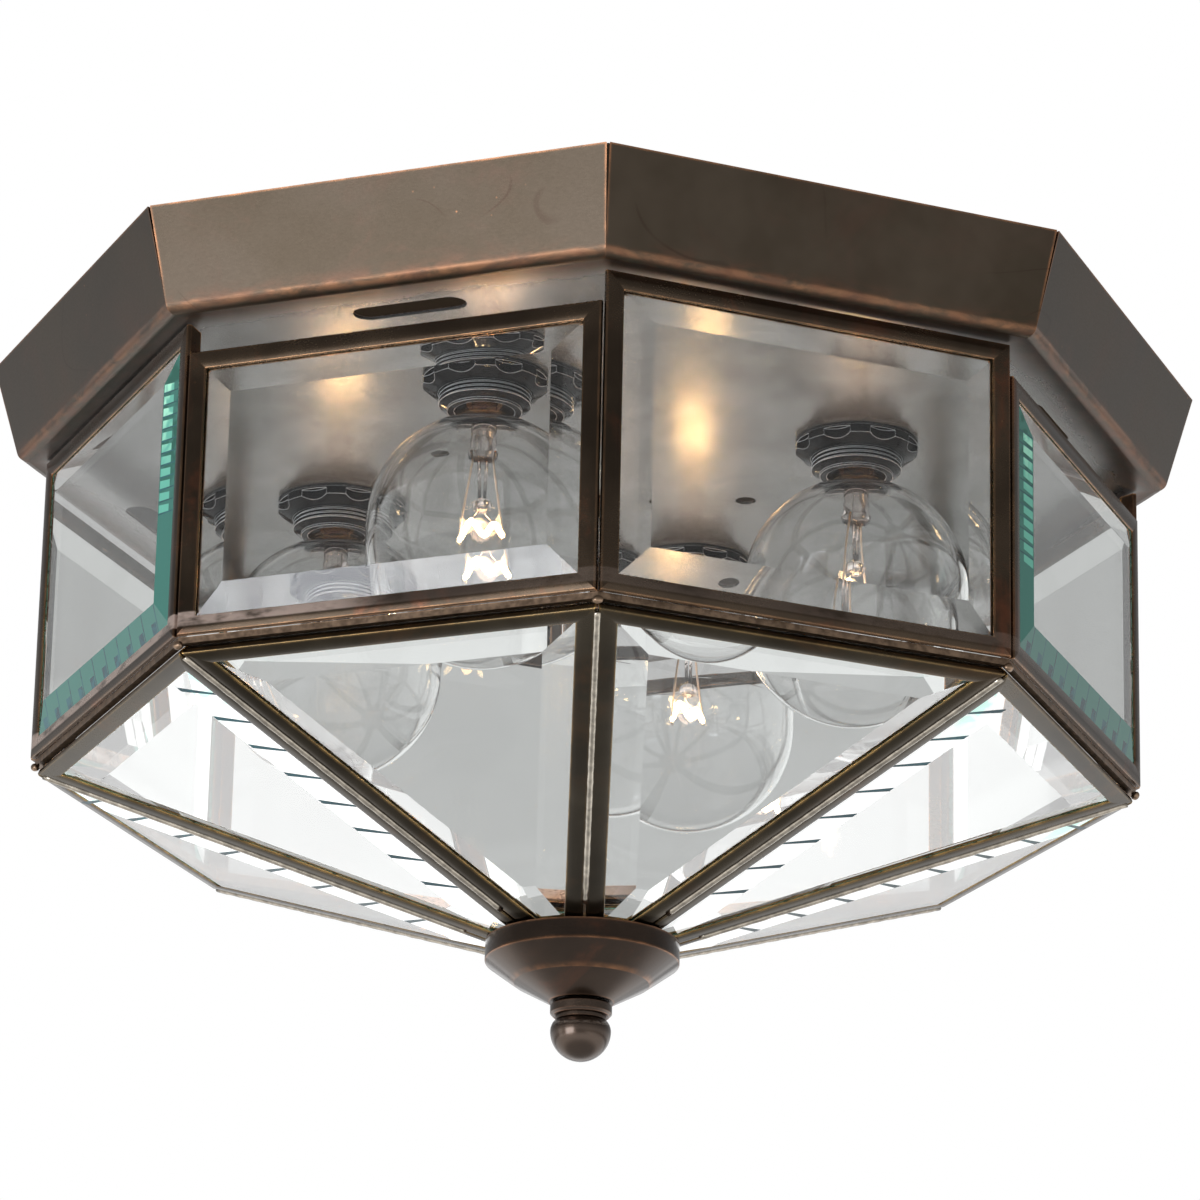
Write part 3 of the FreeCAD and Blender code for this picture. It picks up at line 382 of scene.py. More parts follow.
def pan_finish():
    """Bronze flaps that fade past the bend into a pale satin plate."""
    material, tree, shader = new_material("pan_finish")
    place, spot = use_effect(tree, "facet place"), object_place(tree)
    height, brushed = place["Height"], place["Brushed"]
    copper = product(tree, band(tree, height, BEND_RISE, BEND_FALL), step_node(
        tree, noise(tree, brushed, 260.0, 4.0, 0.6, 0.4), 0.36, 0.62), 0.22)
    finish = use_effect(tree, "aged bronze", {
        "Dark": (0.044, 0.033, 0.022), "Cloud": (0.070, 0.054, 0.039),
        "Red": (0.090, 0.046, 0.033), "Worn": (0.55, 0.24, 0.11), "Red Amount": 0.30,
        "Wear": 0.5, "Wear Width": 0.9 * MM, "Wear Sharpness": 7.0, "Extra Wear": copper,
        "Roughness": 0.30, "Brush": brushed})
    streaks = product(tree, step_node(tree, height, -18.0 * MM, -23.0 * MM), step_node(
        tree, noise(tree, brushed, 420.0, 3.0, 0.5, 0.3), 0.36, 0.70), 0.45)
    smears = product(tree, step_node(tree, noise(tree, spot, 16.0, 4.0, 0.65, 1.2), 0.50, 0.78), 0.5)
    marks = product(tree, scratches(tree, spot, 17.0, 0.53), 0.35)
    brown = finish["Color"]
    for share, shade in ((streaks, (0.125, 0.055, 0.034)), (smears, (0.084, 0.046, 0.034)),
                         (marks, (0.030, 0.016, 0.011))):
        brown = mix_colours(tree, share, brown, shade)
    cloud = noise(tree, spot, 45.0, 4.0, 0.6)
    out = math_node(tree, "MULTIPLY_ADD", cloud, 6.0 * MM, place["Out"])
    satin = product(tree, step_node(tree, out, *PLATE_EDGE), step_node(tree, height, *PLATE_RISE))
    grey = mix_colours(tree, step_node(tree, cloud, 0.3, 0.7), (0.39, 0.39, 0.38), (0.49, 0.49, 0.485))
    rough = add_node(tree, "Mix", {0: satin, 2: finish["Roughness"], 3: SATIN_ROUGHNESS})
    set_inputs(tree, shader, {"Base Color": mix_colours(tree, satin, brown, grey),
                              "Roughness": rough.outputs[0], "Metallic": 0.9})
    add_bump(tree, shader, finish["Height"], PAN_BUMP)
    return material


GLASS_IOR = 1.5
BEVEL_COS = math.cos(math.atan2(1.6, 6.8))
ESCAPE, ESCAPE_FADE = math.sqrt(GLASS_IOR ** 2 - 1), 0.012


def glass(name, tint):
    """Clear glass that lets the lamps' light through."""
    material, tree, shader = new_material(name)
    set_inputs(tree, shader, {"Base Color": tint, "Transmission Weight": 1.0, "Roughness": 0.0,
                              "IOR": GLASS_IOR, "Metallic": 0.0})
    clear_where(tree, lighting_rays(tree), shader.outputs[0], tint)
    return material


def shade_of(colour, share):
    """A colour made darker or lighter, never past white."""
    return tuple(min(1.0, part * share) for part in colour)


def plain(name, colour, metallic, roughness, grain=300.0, spread=0.15, bump=0.05):
    """A finish with fine grain in its colour, gloss and surface."""
    material, tree, shader = new_material(name)
    grains = noise(tree, object_place(tree), grain, 4.0, 0.6)
    shade = mix_colours(tree, step_node(tree, grains, 0.3, 0.7), shade_of(colour, 1 - spread),
                        shade_of(colour, 1 + spread))
    rough = math_node(tree, "MULTIPLY_ADD", grains, 0.1, roughness - 0.05)
    set_inputs(tree, shader, {"Base Color": shade, "Roughness": rough, "Metallic": metallic})
    add_bump(tree, shader, grains, bump)
    return material


def black_moulding():
    """Glossy black moulding, with a painted highlight: pale grey along its flutes' rounded edges."""
    material, tree, shader = new_material("holder_black")
    grains = noise(tree, object_place(tree), 220.0, 4.0, 0.6)
    edges = use_effect(tree, "edge wear and highlight", {"Width": 0.36 * MM, "Sharpness": 7.0, "Break Up": 0.25,
                                           "Grain": 60.0})
    black = mix_colours(tree, grains, (0.004, 0.004, 0.005), (0.009, 0.009, 0.010))
    # Pale grey along the edges is a painted highlight.
    lit = step_node(tree, edges["Mask"], 0.25, 0.85)
    set_inputs(tree, shader, {"Base Color": mix_colours(tree, lit, black, (0.68, 0.68, 0.69)),
                              "Roughness": math_node(tree, "MULTIPLY_ADD", grains, 0.05, 0.045),
                              "Specular IOR Level": 0.27})
    return material


def glowing(name, colour, strength):
    material, tree, shader = new_material(name)
    hot = mix_colours(tree, noise(tree, object_place(tree), 900.0), colour, shade_of(colour, 0.85))
    set_inputs(tree, shader, {"Base Color": colour, "Emission Color": hot,
                              "Emission Strength": strength})
    return material


def trapped(name, high_colour, low_colour, levels, strength, cover=0.95):
    """A glowing film of painted light, seen only where a pane is looked at so far aslant that its
    bevel turns into a mirror inside.
    """
    material, tree, shader = new_material(name)
    place = object_place(tree)
    patches = step_node(tree, noise(tree, place, 190.0, 2.0, 0.5, 0.8), 0.42, 0.60)
    high = product(tree, step_node(tree, split(tree, place)[2], *levels), patches)
    colour = mix_colours(tree, high, low_colour, high_colour)
    pane = add_node(tree, "Attribute", attribute_name="pane_facing").outputs["Vector"]
    near = inverse(tree, add_node(tree, "LayerWeight").outputs["Facing"])
    flat = inverse(tree, add_node(tree, "LayerWeight", {"Normal": pane}).outputs["Facing"])
    bent = math_node(tree, "SQRT", math_node(tree, "MULTIPLY_ADD", near, near, GLASS_IOR ** 2 - 1))
    bent = math_node(tree, "SUBTRACT", bent, near)
    inside = math_node(tree, "MULTIPLY_ADD", bent, BEVEL_COS, flat)
    held = step_node(tree, inside, ESCAPE + ESCAPE_FADE, ESCAPE - ESCAPE_FADE)
    outside = dot_node(tree, add_node(tree, "NewGeometry").outputs["Normal"], pane)
    shown = product(tree, held, step_node(tree, outside, 0.4, 0.6), cover)
    set_inputs(tree, shader, {"Base Color": colour, "Emission Color": colour,
                              "Emission Strength": strength, "Roughness": 0.1, "Alpha": shown})
    return material


def ground_edge(name, colour, strength):
    """Sea green of a ground glass edge, with a painted glow for the light the pane carries to it."""
    material, tree, shader = new_material(name)
    grain = step_node(tree, noise(tree, object_place(tree), 420.0, 4.0, 0.7), 0.3, 0.75)
    shade = mix_colours(tree, grain, shade_of(colour, 0.6), colour)
    set_inputs(tree, shader, {"Base Color": shade, "Emission Color": shade,
                              "Emission Strength": strength, "Roughness": 0.6})
    return material


def make_materials():
    return {
        "pan": pan_finish(),
        "frame": bronze("frame_bronze", {
            "Dark": (0.036, 0.025, 0.016), "Cloud": (0.078, 0.054, 0.035),
            "Red": (0.17, 0.060, 0.030), "Worn": (0.68, 0.36, 0.17), "Red Amount": 0.7,
            "Wear": 1.0, "Wear Width": 0.6 * MM, "Wear Sharpness": 9.0, "Roughness": 0.20},
            coat=0.12, lip=True),
        # The lower frames get a darker, less red copy of the frame bronze: painted shade.
        "lower frame": bronze("lower_frame_bronze", {
            "Dark": (0.026, 0.020, 0.012), "Cloud": (0.056, 0.044, 0.028),
            "Red": (0.12, 0.055, 0.022), "Worn": (0.50, 0.31, 0.11), "Red Amount": 0.3,
            "Wear": 1.0, "Wear Width": 0.7 * MM, "Wear Sharpness": 8.0, "Roughness": 0.18},
            coat=0.05),
        "cap": bronze("cap_bronze", {
            "Dark": (0.033, 0.021, 0.014), "Cloud": (0.064, 0.041, 0.027),
            "Red": (0.15, 0.055, 0.028), "Worn": (0.60, 0.27, 0.12), "Red Amount": 0.5,
            "Wear": 0.6, "Wear Width": 0.9 * MM, "Wear Sharpness": 16.0, "Roughness": 0.14},
            coat=0.3, step=CAP_STEP),
        "finial": bronze("finial_bronze", {
            "Dark": (0.044, 0.030, 0.022), "Cloud": (0.082, 0.056, 0.040),
            "Red": (0.16, 0.06, 0.03), "Worn": (0.45, 0.2, 0.1), "Red Amount": 0.2,
            "Wear": 0.6, "Wear Width": 0.5 * MM, "Wear Sharpness": 6.0, "Roughness": 0.19}, coat=0.4),
        "hub": bronze("hub_brass", {
            "Dark": (0.10, 0.065, 0.03), "Cloud": (0.22, 0.14, 0.07), "Wear": 0.3,
            "Roughness": 0.35}),
        "solder": plain("solder_bronze", (0.22, 0.15, 0.10), 0.9, 0.3, 500.0, 0.4, 0.2),
        "panel_glass": glass("panel_glass", (0.985, 1.0, 0.992)),
        "lamp_glass": glass("lamp_glass", (1.0, 1.0, 1.0)),
        "lamp_base": plain("lamp_brass", (0.75, 0.52, 0.27), 1.0, 0.25),
        "filament": plain("lead_wire", (0.6, 0.5, 0.4), 1.0, 0.35),
        "holder": black_moulding(),
        "contact": plain("contact_brass", (0.78, 0.56, 0.28), 1.0, 0.2),
        "lead": plain("lead_cover", (0.75, 0.75, 0.72), 0.0, 0.4),
        "stem": glass("stem_glass", (1.0, 0.93, 0.90)),
        "coil": glowing("lit_coil", (1.0, 0.74, 0.40), 40.0),
        # Glowing films that paint the light trapped in the bevels, and the dark marks on them.
        "trapped_green": trapped("trapped_green", (0.018, 0.095, 0.070), (0.040, 0.150, 0.122),
                                 (-70 * MM, -50 * MM), 0.28),
        "mint_cell": trapped("mint_cell", (0.34, 0.70, 0.52), (0.11, 0.38, 0.29),
                             (-60 * MM, -38 * MM), 0.30, 1.0),
        "trapped_white": trapped("trapped_white", (0.62, 0.93, 0.83), (0.93, 0.94, 0.93),
                                 (-111 * MM, -106 * MM), 0.55, 0.9),
        "dark_mark": trapped("dark_mark", (0.03, 0.12, 0.14), (0.025, 0.07, 0.085),
                             (-130 * MM, -105 * MM), 0.1, 1.0),
        # The ground edges and their nicks glow a little: painted light.
        "edge": ground_edge("ground_edge", (0.20, 0.50, 0.42), 0.8),
        "edge_tick": ground_edge("edge_nick", (0.02, 0.09, 0.09), 0.2),
        "bead": plain("bead_solder", (0.33, 0.295, 0.245), 1.0, 0.20, 420.0, 0.3, 0.12),
        "connector": plain("connector_orange", (0.62, 0.22, 0.04), 0.0, 0.45),
        "rod": plain("rod_bronze", (0.09, 0.06, 0.04), 0.95, 0.3, 400.0, 0.3),
        "hidden_steel": plain("zinc_steel", (0.58, 0.58, 0.55), 0.95, 0.35, 150.0),
    }


def dress_nodes(materials):
    """Give each carried-over node the finish of its slot in the record, but the lower frames the
    lower frame bronze.
    """
    finishes = {part["node"]: part["material_slot"] for part in frame["record"]["subparts"]}
    for name, node in nodes.items():
        for slot in node.material_slots:
            finish = "lower frame" if name.startswith("lower_frame") else finishes[name]
            slot.material = materials[finish]


# Mesh tools

def around(radius, height, count, turn=0.0):
    """Points evenly round the Z axis, at one height."""
    return [Vector((radius * math.cos(turn + math.tau * step / count),
                    radius * math.sin(turn + math.tau * step / count), height))
            for step in range(count)]


def join_rings(form, rings, material=0):
    """Faces between each ring of points and the next."""
    for first, second in zip(rings, rings[1:]):
        for corner in range(len(first)):
            after = (corner + 1) % len(first)
            face = form.faces.new([first[corner], first[after], second[after], second[corner]])
            face.material_index = material


def add_skin(form, rings, material=0):
    """A closed skin over rings of points: a face at each end, and faces between them."""
    for ring in (rings[0], rings[-1]):
        form.faces.new(ring).material_index = material
    join_rings(form, rings, material)


def add_points(form, places):
    return [form.verts.new(place) for place in places]


def add_tube(form, points, radii, spokes=8):
    """A closed tube through points, without twist; radii is one radius or one for each point."""
    side, rings = None, []
    for index, point in enumerate(points):
        before = points[max(index - 1, 0)]
        after = points[min(index + 1, len(points) - 1)]
        ahead = (after - before).normalized()
        if side is None:
            side = ahead.orthogonal().normalized()
        side = (side - ahead * side.dot(ahead)).normalized()
        other = ahead.cross(side)
        radius = radii[index] if isinstance(radii, list) else radii
        rings.append(add_points(form, [point + spot.x * side + spot.y * other
                                       for spot in around(radius, 0, spokes)]))
    add_skin(form, rings)


def add_turned(form, profile, spokes=32):
    """A closed solid turned about Z from a profile of (radius, height), first and last on the axis."""
    rings = [add_points(form, around(radius, height, spokes)) for radius, height in profile[1:-1]]
    for ring, (_, height) in ((rings[0], profile[0]), (rings[-1], profile[-1])):
        end = form.verts.new((0, 0, height))
        for spoke in range(spokes):
            form.faces.new([end, ring[spoke], ring[(spoke + 1) % spokes]])
    join_rings(form, rings)


def finish_mesh(name, form, smooth=True):
    bmesh.ops.recalc_face_normals(form, faces=form.faces)
    for face in form.faces:
        face.smooth = smooth
    mesh = bpy.data.meshes.new(name)
    form.to_mesh(mesh)
    form.free()
    return mesh


def add_piece(name, mesh, body, materials):
    """Put a mesh in the scene as a piece that rides on a body."""
    piece = bpy.data.objects.new(name, mesh)
    bpy.context.scene.collection.objects.link(piece)
    for material in materials:
        mesh.materials.append(material)
    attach(piece, body)
    return piece


# Cage panels are laid out upright, facing -Y, with their top outer edge on the X axis.

def side_top(side):
    return TALL_TOP if side % 2 else SHORT_TOP


def side_stand(side):
    turn = Matrix.Rotation(PANEL_TURN * side, 4, "Z")
    return Matrix.Translation(turn @ Vector((0, -CAGE_APOTHEM, side_top(side)))) @ turn


def side_corners(side, inset):
    half, low = CAGE_HALF - inset, side_top(side) - WAIST - inset
    return [(half, -inset), (half, -low), (-half, -low), (-half, -inset)]


def lower_stand(side):
    turn = Matrix.Rotation(PANEL_TURN * side, 4, "Z")
    place = turn @ Vector((0, -LOWER_APOTHEM, LOWER_TOP))
    return Matrix.Translation(place) @ turn @ Matrix.Rotation(LOWER_LEAN, 4, "X")


def lower_corners(side, inset):
    """As side_corners, but the same on every side."""
    aside = (HIP_SETBACK + inset) * math.hypot(1, HIP_SLOPE)
    low = LOWER_LENGTH - inset
    top_half, tip_half = (LOWER_HALF - HIP_SLOPE * drop - aside for drop in (inset, low))
    return [(top_half, -inset), (tip_half, -low), (-tip_half, -low), (-top_half, -inset)]


# The ground edge of each pane: a thin band of sea green round it, glowing as painted light, nicked
# at even steps

GLASS_FRONT, GLASS_BACK = 0.8 * MM, 3.4 * MM
GLASS_INSET = 1.7 * MM
BAND_INSET, BAND_WALL = 0.04 * MM, 0.05 * MM
NICK_STEP, NICK_WIDTH, NICK_DEPTH = 3.6 * MM, 0.5 * MM, 0.1 * MM


def edge_band(name, stand, corners, side, materials):
    form = bmesh.new()
    outer = corners(side, GLASS_INSET + BAND_INSET)
    inner = corners(side, GLASS_INSET + BAND_INSET + BAND_WALL)
    front, back = GLASS_FRONT + BAND_INSET, GLASS_BACK - BAND_INSET
    rings = [add_points(form, [stand @ Vector((x, y, z)) for x, z in outline])
             for outline, y in ((outer, front), (outer, back), (inner, back), (inner, front))]
    join_rings(form, rings + rings[:1])
    for start, end in zip(inner, inner[1:] + inner[:1]):
        start, end = Vector(start), Vector(end)
        run = (end - start).length
        along = (end - start) / run
        inward = Vector((-along.y, along.x))
        if inward.dot(Vector((0, -run / 2)) - start) < 0:
            inward = -inward
        steps = int(run / NICK_STEP)
        for step in range(1, steps):
            middle = start + along * (run * step / steps)
            near, far = middle - along * NICK_WIDTH / 2, middle + along * NICK_WIDTH / 2
            outline = (near, far, far + inward * NICK_DEPTH, near + inward * NICK_DEPTH)
            add_skin(form, [add_points(form, [stand @ Vector((spot.x, y, spot.y)) for spot in outline])
                            for y in (front, back)], 1)
    add_piece(name, finish_mesh(name, form, smooth=False), "cage", materials)


def edge_bands(materials):
    for side in range(PANELS):
        edge_band("side_glass_edge_%d" % (side + 1), side_stand(side), side_corners, side, materials)
        edge_band("lower_glass_edge_%d" % (side + 1), lower_stand(side), lower_corners, side,
                  materials)


# Light that stays trapped in a bevel is painted on thin glowing films over the bevels: sea green
# or white, crossed by even painted dark marks.

VISIBLE_INSET, BEVEL_INSET = 4.3 * MM, 11.1 * MM
BEVEL_FRONT = -0.8 * MM
BEVEL_TIP_HALF, BEVEL_TIP_DROP = 1.6 * MM, 91.61 * MM
FILM_LIFT, FILM_WALL, MARK_LIFT = 0.03 * MM, 0.02 * MM, 0.07 * MM


def bevel_facets(stand, outer, inner):
    """The four sloping borders of a pane, each as its four corners."""
    for corner in range(4):
        after = (corner + 1) % 4
        near = [stand @ Vector((x, GLASS_FRONT, z)) for x, z in (outer[corner], outer[after])]
        far = [stand @ Vector((x, BEVEL_FRONT, z)) for x, z in (inner[corner], inner[after])]
        yield near[0], near[1], far[1], far[0]


def lower_bevel(side):
    half, drop = lower_corners(side, BEVEL_INSET)[0]
    return [(half, drop), (BEVEL_TIP_HALF, -BEVEL_TIP_DROP), (-BEVEL_TIP_HALF, -BEVEL_TIP_DROP),
            (-half, drop)]


def add_slab(form, corners, facing, lift, material=0):
    """A thin closed slab over four corners, and the way its pane faces stored on it."""
    across = (corners[1] - corners[0]).cross(corners[3] - corners[0]).normalized()
    if across.dot(facing) < 0:
        across = -across
    levels = [add_points(form, [spot + across * height for spot in corners])
              for height in (lift, lift + FILM_WALL)]
    add_skin(form, levels, material)
    layer = form.verts.layers.float_vector["pane_facing"]
    for vert in levels[0] + levels[1]:
        vert[layer] = facing


def add_mark(form, facet, facing, start, end, narrow, wide, material=1):
    """A wedge shaped mark on a facet, between two places given as lengths along and across it."""
    low, high, _, far_low = facet
    aside = (high - low).normalized()
    inward = far_low - low
    inward = (inward - aside * inward.dot(aside)).normalized()
    first, last = (low + aside * along + inward * across for along, across in (start, end))
    add_slab(form, [first - aside * narrow / 2, first + aside * narrow / 2,
                    last + aside * wide / 2, last - aside * wide / 2], facing, MARK_LIFT, material)


def trapped_light(name, stand_of, outer_of, inner_of, marks, materials):
    form = bmesh.new()
    form.verts.layers.float_vector.new("pane_facing")
    for side in range(PANELS):
        stand = stand_of(side)
        facing = (stand.to_3x3() @ Vector((0, -1, 0))).normalized()
        for index, facet in enumerate(bevel_facets(stand, outer_of(side), inner_of(side))):
            add_slab(form, facet, facing, FILM_LIFT)
            marks(form, facet, facing, index)
    add_piece(name, finish_mesh(name, form, smooth=False), "cage", materials)


STANDING_FACETS, BOTTOM_FACET = (0, 2), 1
FACET_WIDTH = 6.9 * MM
CELL_STEP, CELL_COUNT, CELL_FIRST = 2.9 * MM, 11, 8.0 * MM
CELL_START, CELL_END, CELL_LEAN = 2.6 * MM, 6.6 * MM, 0.25 * MM
LINE_START, LINE_LEAN = 0.3 * MM, 0.5 * MM
BLOCK_STEP = 8.4 * MM


def bevel_cells(form, facet, facing, index):
    """Painted marks on the bevels: bright cells of light up the standing bevels, dark blocks and thin
    lines along the bottom one.
    """
    run = (facet[1] - facet[0]).length
    if index in STANDING_FACETS:
        for cell in range(CELL_COUNT):
            middle = CELL_FIRST + CELL_STEP * cell
            if index == STANDING_FACETS[1]:
                middle = run - middle
            line = middle + CELL_STEP / 2
            add_mark(form, facet, facing, (middle + CELL_LEAN, CELL_START),
                     (middle - CELL_LEAN, CELL_END), 1.7 * MM, 1.9 * MM, 2)
            add_mark(form, facet, facing, (line, LINE_START), (line - LINE_LEAN, FACET_WIDTH),
                     0.22 * MM, 0.30 * MM)
    elif index == BOTTOM_FACET:
        start = BLOCK_STEP * 0.8
        while start < run - BLOCK_STEP * 0.5:
            reach = min(FACET_WIDTH, start, run - start)
            add_mark(form, facet, facing, (start, 0.1 * MM), (start + 0.4 * MM, reach),
                     0.45 * MM, 0.45 * MM)
            add_mark(form, facet, facing, (start + 1.9 * MM, 0.2 * MM),
                     (start + 2.2 * MM, 0.42 * FACET_WIDTH), 2.7 * MM, 2.9 * MM)
            start += BLOCK_STEP


HIP_FIRST, HIP_STEP, HIP_CLIMB = 10.0 * MM, 11.7 * MM, 5.5 * MM


def hip_marks(form, facet, facing, index):
    """Long painted dark marks that climb across the bevel beside each hip."""
    if index not in STANDING_FACETS:
        return
    run = (facet[1] - facet[0]).length
    start = HIP_FIRST
    while start < run - HIP_FIRST:
        low, high = start, start - HIP_CLIMB
        if index == STANDING_FACETS[1]:
            low, high = run - low, run - high
        add_mark(form, facet, facing, (low, 0.0), (high, FACET_WIDTH), 0.8 * MM, 1.7 * MM)
        start += HIP_STEP


# Lamp mounts: glass tube, two glass rods and a bead, lead wires, supports and a lit coil

# Points and radii in millimetres, from the plate down the lamp's axis
STEM_PROFILE = [(0, -1.1), (4.1, -1.3), (3.4, -2.4), (3.0, -4.4), (2.9, -9.0), (3.0, -13.0),
                (2.8, -14.2), (3.1, -15.6), (2.9, -17.2), (3.5, -18.4), (3.3, -19.6), (2.0, -20.4),
                (0, -20.6)]
BEAD_PROFILE = [(0, -29.6), (1.3, -29.8), (2.1, -30.5), (2.35, -31.3), (2.1, -32.1), (1.3, -32.8),
                (0, -33.0)]
ROD_PATH, ROD_RADIUS = [(0.9, 0, -20.2), (0.72, 0, -25.0), (0.54, 0, -30.2)], 0.40
LEAD_PATH, LEAD_RADIUS = [(1.9, 0, -18.0), (2.5, 0.4, -21.0), (3.2, 0.6, -26.0),
                          (4.2, 0.4, -32.5)], 0.26
SUPPORT_PATH, SUPPORT_RADIUS = [(0.5, 0.5, -31.4), (1.1, 2.6, -32.4)], 0.11
COIL_PATH = [(-5.2, 0.0, -40.6), (-2.3, 0.5, -34.2), (0.7, -0.3, -38.9), (3.0, 0.5, -34.8),
             (5.2, 0.0, -38.6)]
COIL_RADIUS, COIL_WIRE, COIL_TURNS, COIL_FINENESS = 0.50, 0.23, 9, 8


def lamp_spot(index, depth):
    angle = math.radians(-90 + 90 * index)
    return Vector((LAMP_REACH * math.cos(angle), LAMP_REACH * math.sin(angle), PLATE_BOTTOM - depth))


def lamp_stand(index):
    turn = Matrix.Rotation(math.radians(FILAMENT_TURNS[index]), 4, "Z")
    return Matrix.Translation(lamp_spot(index, 0)) @ turn


def in_metres(points):
    return [Vector(point) * MM for point in points]


def mirrored(points, turn):
    """Points in metres, on one side of the lamp's axis (1) or the other (-1)."""
    return in_metres([(turn * x, y, z) for x, y, z in points])


def coil_points(start, end):
    """Points of a coil wound on the line from start to end, narrow at its ends."""
    ahead = (end - start).normalized()
    side = ahead.orthogonal().normalized()
    other = ahead.cross(side)
    steps = COIL_TURNS * COIL_FINENESS
    points = []
    for step in range(steps + 1):
        share = step / steps
        angle = math.tau * COIL_TURNS * share
        wide = COIL_RADIUS * MM * min(1.0, 6 * share, 6 * (1 - share)) + 0.02 * MM
        points.append(start.lerp(end, share) + wide * (math.cos(angle) * side
                                                       + math.sin(angle) * other))
    return points


def lamp_part(kind, index, form, material):
    """Turn a part of a lamp's mount into its lamp and put it in the scene."""
    bmesh.ops.transform(form, matrix=lamp_stand(index), verts=form.verts)
    name = "%s_%d" % (kind, index + 1)
    return add_piece(name, finish_mesh(kind, form), "lamp_%d" % (index + 1), [material])


def lamp_mount(index, materials):
    form = bmesh.new()
    for profile in (STEM_PROFILE, BEAD_PROFILE):
        add_turned(form, [(radius * MM, height * MM) for radius, height in profile])
    for turn in (-1, 1):
        add_tube(form, mirrored(ROD_PATH, turn), ROD_RADIUS * MM)
    stem = lamp_part("lamp_stem", index, form, materials["stem"])
    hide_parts("lamp_filament_%d" % (index + 1))

    form = bmesh.new()
    for turn, end, held in ((-1, COIL_PATH[0], COIL_PATH[1]), (1, COIL_PATH[-1], COIL_PATH[-2])):
        end, held = in_metres((end, held))
        hook, rise = in_metres(((-turn * 0.5, 0, -0.5), (0, 1.6, 0.2)))
        add_tube(form, mirrored(LEAD_PATH, turn) + [end, end + hook], LEAD_RADIUS * MM)
        add_tube(form, mirrored(SUPPORT_PATH, turn) + [held + rise, held], SUPPORT_RADIUS * MM)
    lamp_part("lamp_leads", index, form, materials["filament"])

    form = bmesh.new()
    for start, end in zip(COIL_PATH, COIL_PATH[1:]):
        add_tube(form, coil_points(*in_metres((start, end))), COIL_WIRE * MM, 6)
    lamp_part("lamp_coil", index, form, materials["coil"])


# Solder: beads in the valleys between the lower panels and knots at the corners of the waist

BEAD_STEPS, BEAD_FIRST, BEAD_LAST = 60, 1.5 * MM, LOWER_LENGTH - 10.5 * MM
BEAD_DEPTH, BEAD_RADIUS = 0.42 * MM, 0.78
KNOT_REACH, KNOT_HEIGHT, KNOT_RADIUS = 129.5 * MM, -100.3 * MM, 1.0 * MM
KNOT_STRETCH, KNOT_LUMPS, KNOT_GRAIN = Vector((1.0, 1.25, 0.95)), 0.22, 1.1 * MM


def solder_beads(material):
    form = bmesh.new()
    for side in range(PANELS):
        stand, points, radii = lower_stand(side), [], []
        for step in range(BEAD_STEPS + 1):
            drop = BEAD_FIRST + (BEAD_LAST - BEAD_FIRST) * step / BEAD_STEPS
            points.append(stand @ Vector((LOWER_HALF - HIP_SLOPE * drop, BEAD_DEPTH, -drop)))
            radii.append((BEAD_RADIUS + 0.04 * math.sin(step * 1.7 + side)
                          + 0.02 * math.sin(step * 4.1)) * MM)
        add_tube(form, points, radii, 10)
    add_piece("hip_solder", finish_mesh("hip_solder", form), "cage", [material])


def solder_knots(material):
    form = bmesh.new()
    for side in range(PANELS):
        angle = FIRST_PANEL + PANEL_TURN * (side + 0.5)
        spot = Vector((KNOT_REACH * math.cos(angle), KNOT_REACH * math.sin(angle), KNOT_HEIGHT))
        knot = bmesh.ops.create_icosphere(form, subdivisions=3, radius=KNOT_RADIUS)["verts"]
        for vert in knot:
            lump = noise_of(vert.co / KNOT_GRAIN + Vector((side * 7.3, 0, 0)))
            place = vert.co * (1 + KNOT_LUMPS * lump) * KNOT_STRETCH
            vert.co = Matrix.Rotation(angle, 3, "Z") @ place + spot
    add_piece("waist_solder_knots", finish_mesh("waist_solder_knots", form), "cage",
              [material])


# Room and light

# Through the glass, the wall behind the light is darker, and so are two places that the bevels
# bring into view. Edges run from where a change starts to where it is full.
WALL_MIDDLE, WALL_LOSS = (-0.348, 0.877, 0.332), 0.50
MIRRORED_WALLS, MIRRORED_LOSS = ((-0.349, -0.877, 0.332), (0.877, -0.349, 0.332)), 0.6
WALL_EDGE = (0.950, 0.993)
WALL_ACROSS = (0.929, 0.369, 0.0)
UPPER_ROOM, UPPER_IN_GLASS, UPPER_EDGE = 0.34, 0.12, (0.03, 0.27)
ROOM_LIGHT = 0.55
FLOOR_DROP, FLOOR_REACH, FLOOR_RINGS, FLOOR_SPOKES = 0.62, 6.0, 6, 48
FLOOR_CENTRE, FLOOR_NEAR, FLOOR_FAR, FLOOR_IN_GLASS = 0.7, 1.5, 0.55, 3.9
CENTRE_EDGE, NEAR_EDGE, SIDE_EDGE, SIDE_END = (0.90, 0.68), (1.75, 1.15), (0.38, 0.80), (2.6, 2.1)
PATCH_INSET, PATCH_RISE = 1.2 * MM, 0.2 * MM
GLOW_POWER, GLOW_COLOUR, GLOW_RADIUS, GLOW_DEPTH = 0.045, (1.0, 0.68, 0.50), 2.5 * MM, 35.5 * MM


def stage_sheet(name, form, upward, material):
    """Put a sheet in the scene that is no part of the light, its faces all up or all down."""
    for face in form.faces:
        face.normal_update()
        if (face.normal.z > 0) != upward:
            face.normal_flip()
    mesh = bpy.data.meshes.new(name)
    form.to_mesh(mesh)
    form.free()
    mesh.materials.append(material)
    sheet = bpy.data.objects.new(name, mesh)
    bpy.context.scene.collection.objects.link(sheet)


